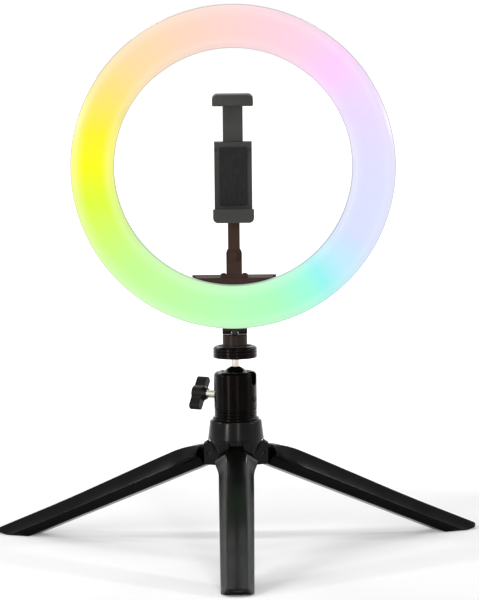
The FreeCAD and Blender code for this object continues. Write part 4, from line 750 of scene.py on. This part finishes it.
# %% [markdown]
# ## The ring
# The opal front is a channel pressed from sheet: flat over the LEDs and rolled over at both rims.
# It is turned round an axis that points at the viewer, so the lathe's own axis is laid down with a
# matrix. The housing behind it keeps its bosses, screw holes and the two ears of the tilt hinge,
# which spinning can't give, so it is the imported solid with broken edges.

# %% Opal front and housing
RING_OUT, RING_IN, RING_Z = LAMP_RADIUS / mm, LAMP_RADIUS / mm - 35, LAMP_HEIGHT / mm
RING_BACK, RING_SIDE, RING_FACE, INNER_FACE, SHEET = 6.0, 13.4, 16.4, 14.4, 2
ring_axis = Matrix.Translation((0, 0, RING_Z)) @ Matrix.Rotation(math.radians(90), 4, "X")
front_outline = eased([
    (RING_OUT, RING_BACK, 0.2), (RING_OUT, RING_SIDE, 2.2), (RING_OUT - 4.2, RING_FACE, 3.5),
    (RING_IN + 4.2, RING_FACE, 3.5), (RING_IN, RING_SIDE, 2.2), (RING_IN, RING_BACK, 0.2),
    (RING_IN + SHEET, RING_BACK, 0.2), (RING_IN + SHEET, 12.6, 1.2), (RING_IN + 5.0, INNER_FACE, 2.0),
    (RING_OUT - 5.0, INNER_FACE, 2.0), (RING_OUT - SHEET, 12.6, 1.2), (RING_OUT - SHEET, RING_BACK, 0.2)],
    0.2, steps=5)
turned("opal_front", front_outline, lit_acrylic, "diffuser", steps=288, frame_of=ring_axis)
shell = solid_with_broken_edges("rear_housing", housing_abs, 0.5)
paint_where(shell, brown_abs, lambda middle: middle.z < EAR_TOP)
print("ring", round(2 * RING_OUT, 1), "mm across, opening", round(2 * RING_IN, 1))

# %% [markdown]
# The boards, LEDs and reflectors are closed in, and so are the clamp's springs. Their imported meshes
# are already right, so they stay and only get their finishes.

# %% What is inside the ring and the clamp
for node, finish in (("led_board", white_board), ("led_chips", led_phosphor),
                     ("inner_reflector", reflector_film), ("outer_reflector", reflector_film),
                     ("controller_board", green_board), ("controller_chips", chip_epoxy),
                     ("jaw_springs", spring_steel)):
    for slot in frame["nodes"][node].material_slots:
        slot.material = finish
print("inner parts finished")

# %% [markdown]
# ## Bridge, arm and clamp
# A box behind the ring's bottom holds the controller. A ledge on it closes the ring's opening below
# and carries a folding arm with the clamp. These are small moulded parts with generous rounds:
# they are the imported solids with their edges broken, wider where a hand touches them.

# %% Small mouldings
for node, finish, width in (
        ("bridge_box", arm_abs, 0.6), ("bridge_cover", arm_abs, 0.6), ("cable_gland", grip_rubber, 0.4),
        ("lower_arm", arm_abs, 0.7), ("upper_arm", arm_abs, 0.7), ("clamp_knuckle", clamp_abs, 0.4),
        ("clamp_back", clamp_abs, 0.7), ("swivel_collar", clamp_abs, 0.4), ("clamp_cover", clamp_abs, 1.0),
        ("rest_pad", grip_rubber, 0.5), ("lower_jaw", clamp_abs, 1.0), ("lower_jaw_pad", grip_rubber, 0.4),
        ("upper_jaw", clamp_abs, 1.0), ("upper_jaw_pad", grip_rubber, 0.4),
        ("housing_screws", dark_steel, 0.3), ("bridge_screws", dark_steel, 0.25),
        ("arm_screws", dark_steel, 0.2), ("arm_pin", arm_abs, 0.4), ("knuckle_pin", dark_steel, 0.3),
        ("clamp_screws", dark_steel, 0.2)):
    solid_with_broken_edges(node, finish, width)
print("small mouldings done")

# %% [markdown]
# ## Floor, light and camera
# The object stands on a plain white floor under studio light. The background is white to the
# camera and in reflections, but the world lights the object only mildly: a Light Path node tells
# the two apart. The floor is a matt white sheet. To the camera and in reflections it also glows, a
# little near the object, where its soft shadows show, and more further out, until it meets the
# background's white.

# %% Floor
FLOOR_HALF, GLOW_NEAR, GLOW_FAR, GLOW_LOW, GLOW_HIGH = 6, 0.35, 1.2, 0.12, 1.0


def seen_directly(tree):
    """1 where a camera, mirror or see-through ray asks, else 0."""
    path = add(tree, "ShaderNodeLightPath").outputs
    either = add(tree, "ShaderNodeMath", {
        0: path["Is Camera Ray"], 1: path["Is Glossy Ray"]}, operation="MAXIMUM").outputs["Value"]
    return add(tree, "ShaderNodeMath", {
        0: either, 1: path["Is Transmission Ray"]}, operation="MAXIMUM").outputs["Value"]


floor_mesh = bpy.data.meshes.new("floor")
corners = [(x * FLOOR_HALF, y * FLOOR_HALF, 0) for x, y in ((-1, -1), (1, -1), (1, 1), (-1, 1))]
floor_mesh.from_pydata(corners, [], [(0, 1, 2, 3)])
floor = bpy.data.objects.new("floor", floor_mesh)
scene.collection.objects.link(floor)
floor.location.z = cad_box[0][2]
white_sheet, tree, place = new_finish("matt white floor")
matt = add(tree, "ShaderNodeBsdfDiffuse", {"Color": colour("#E4E4E4"), "Roughness": 0.5})
from_middle = add(tree, "ShaderNodeVectorMath", {0: place}, operation="LENGTH").outputs["Value"]
whiter = add(tree, "ShaderNodeMapRange", {
    "Value": from_middle, "From Min": GLOW_NEAR, "From Max": GLOW_FAR,
    "To Min": GLOW_LOW, "To Max": GLOW_HIGH}).outputs["Result"]
lift = add(tree, "ShaderNodeMath", {
    0: seen_directly(tree), 1: whiter}, operation="MULTIPLY").outputs["Value"]
glow = add(tree, "ShaderNodeEmission", {"Color": (1, 1, 1, 1), "Strength": lift})
surface(tree, add(tree, "ShaderNodeAddShader", {0: matt.outputs[0], 1: glow.outputs[0]}))
floor_mesh.materials.append(white_sheet)
print("floor at height", round(floor.location.z, 4))

# %% [markdown]
# The world is one plain pale colour. The camera and reflections see it at full strength, and it
# lights the object with less, so that the lamps shape it.

# %% Background
WORLD_ON_THINGS, WORLD_SEEN = 0.3, 1.0
world = bpy.data.worlds.new("white studio")
scene.world = world
world.use_nodes = True
tree = world.node_tree
tree.nodes.clear()
strength = add(tree, "ShaderNodeMapRange", {
    "Value": seen_directly(tree), "To Min": WORLD_ON_THINGS, "To Max": WORLD_SEEN})
sky = add(tree, "ShaderNodeBackground", {"Color": (1, 1, 1, 1), "Strength": strength.outputs["Result"]})
add(tree, "ShaderNodeOutputWorld", {"Surface": sky.outputs[0]})
print("world", WORLD_ON_THINGS, "on things,", WORLD_SEEN, "when seen")

# %% [markdown]
# Eight soft lamps: two round ones behind on the left and right for the rims, a wide one overhead
# behind that shines along the front leg, one on top for the soft shadow, two low ones for the side
# legs' edges, and two upright strips that draw the long highlights down the barrel, the collar and
# the disc. Each is an area lamp, given by its direction, distance, size in metres and power in
# watts.

# %% Lamps
def soft_lamp(name, azimuth, elevation, distance, width, height, watts, target=(0, 0, 0.17)):
    """An area lamp that faces the target. Azimuth is degrees to the right of the viewer's side."""
    light = bpy.data.lights.new(name, "AREA")
    light.shape = "ELLIPSE" if width == height else "RECTANGLE"
    light.size, light.size_y, light.energy = width, height, watts
    lamp = bpy.data.objects.new(name, light)
    a, e = math.radians(azimuth - 90), math.radians(elevation)
    away = Vector((math.cos(a) * math.cos(e), math.sin(a) * math.cos(e), math.sin(e)))
    lamp.location = Vector(target) + away * distance
    lamp.rotation_euler = away.to_track_quat("Z", "Y").to_euler()
    lamp.visible_camera = False
    scene.collection.objects.link(lamp)


soft_lamp("lamp_left", -156, 35, 1.6, 0.3, 0.3, 4)
soft_lamp("lamp_right", 156, 35, 1.6, 0.24, 0.24, 2.5)
soft_lamp("lamp_overhead", 178, 50, 1.7, 1.1, 0.5, 5)
soft_lamp("lamp_top", 20, 84, 1.6, 0.5, 0.5, 4)
soft_lamp("edge_left", -78, 20, 1.7, 0.12, 0.12, 9, (0, 0, 0.05))
soft_lamp("edge_right", 78, 20, 1.7, 0.12, 0.12, 9, (0, 0, 0.05))
soft_lamp("strip_left", -38, 9, 2.2, 0.14, 1.1, 26)
soft_lamp("strip_front", 10, 9, 2.2, 0.03, 1.1, 9)

# %% [markdown]
# The camera stands 4 m away and looks down by about 6 degrees, through a long lens. From so far
# off, the near leg looks only a little larger than the far ones. It is rolled by 0.6 degrees.

# %% Camera
CAMERA_AT, AIM = Vector((0, -4.0, 0.638)), Vector((0.0040, 0, 0.2038))
LENS, LEAN = 300.72, math.radians(-0.6)
camera_data = bpy.data.cameras.new("camera")
camera_data.sensor_width = 36
camera_data.lens = LENS
camera_data.clip_end = 30
camera = bpy.data.objects.new("camera", camera_data)
scene.collection.objects.link(camera)
camera.location = CAMERA_AT
look = (AIM - CAMERA_AT).to_track_quat("-Z", "Y").to_matrix().to_4x4()
camera.rotation_euler = (look @ Matrix.Rotation(LEAN, 4, "Z")).to_euler()
scene.camera = camera
print("lens", round(camera_data.lens, 1), "mm")
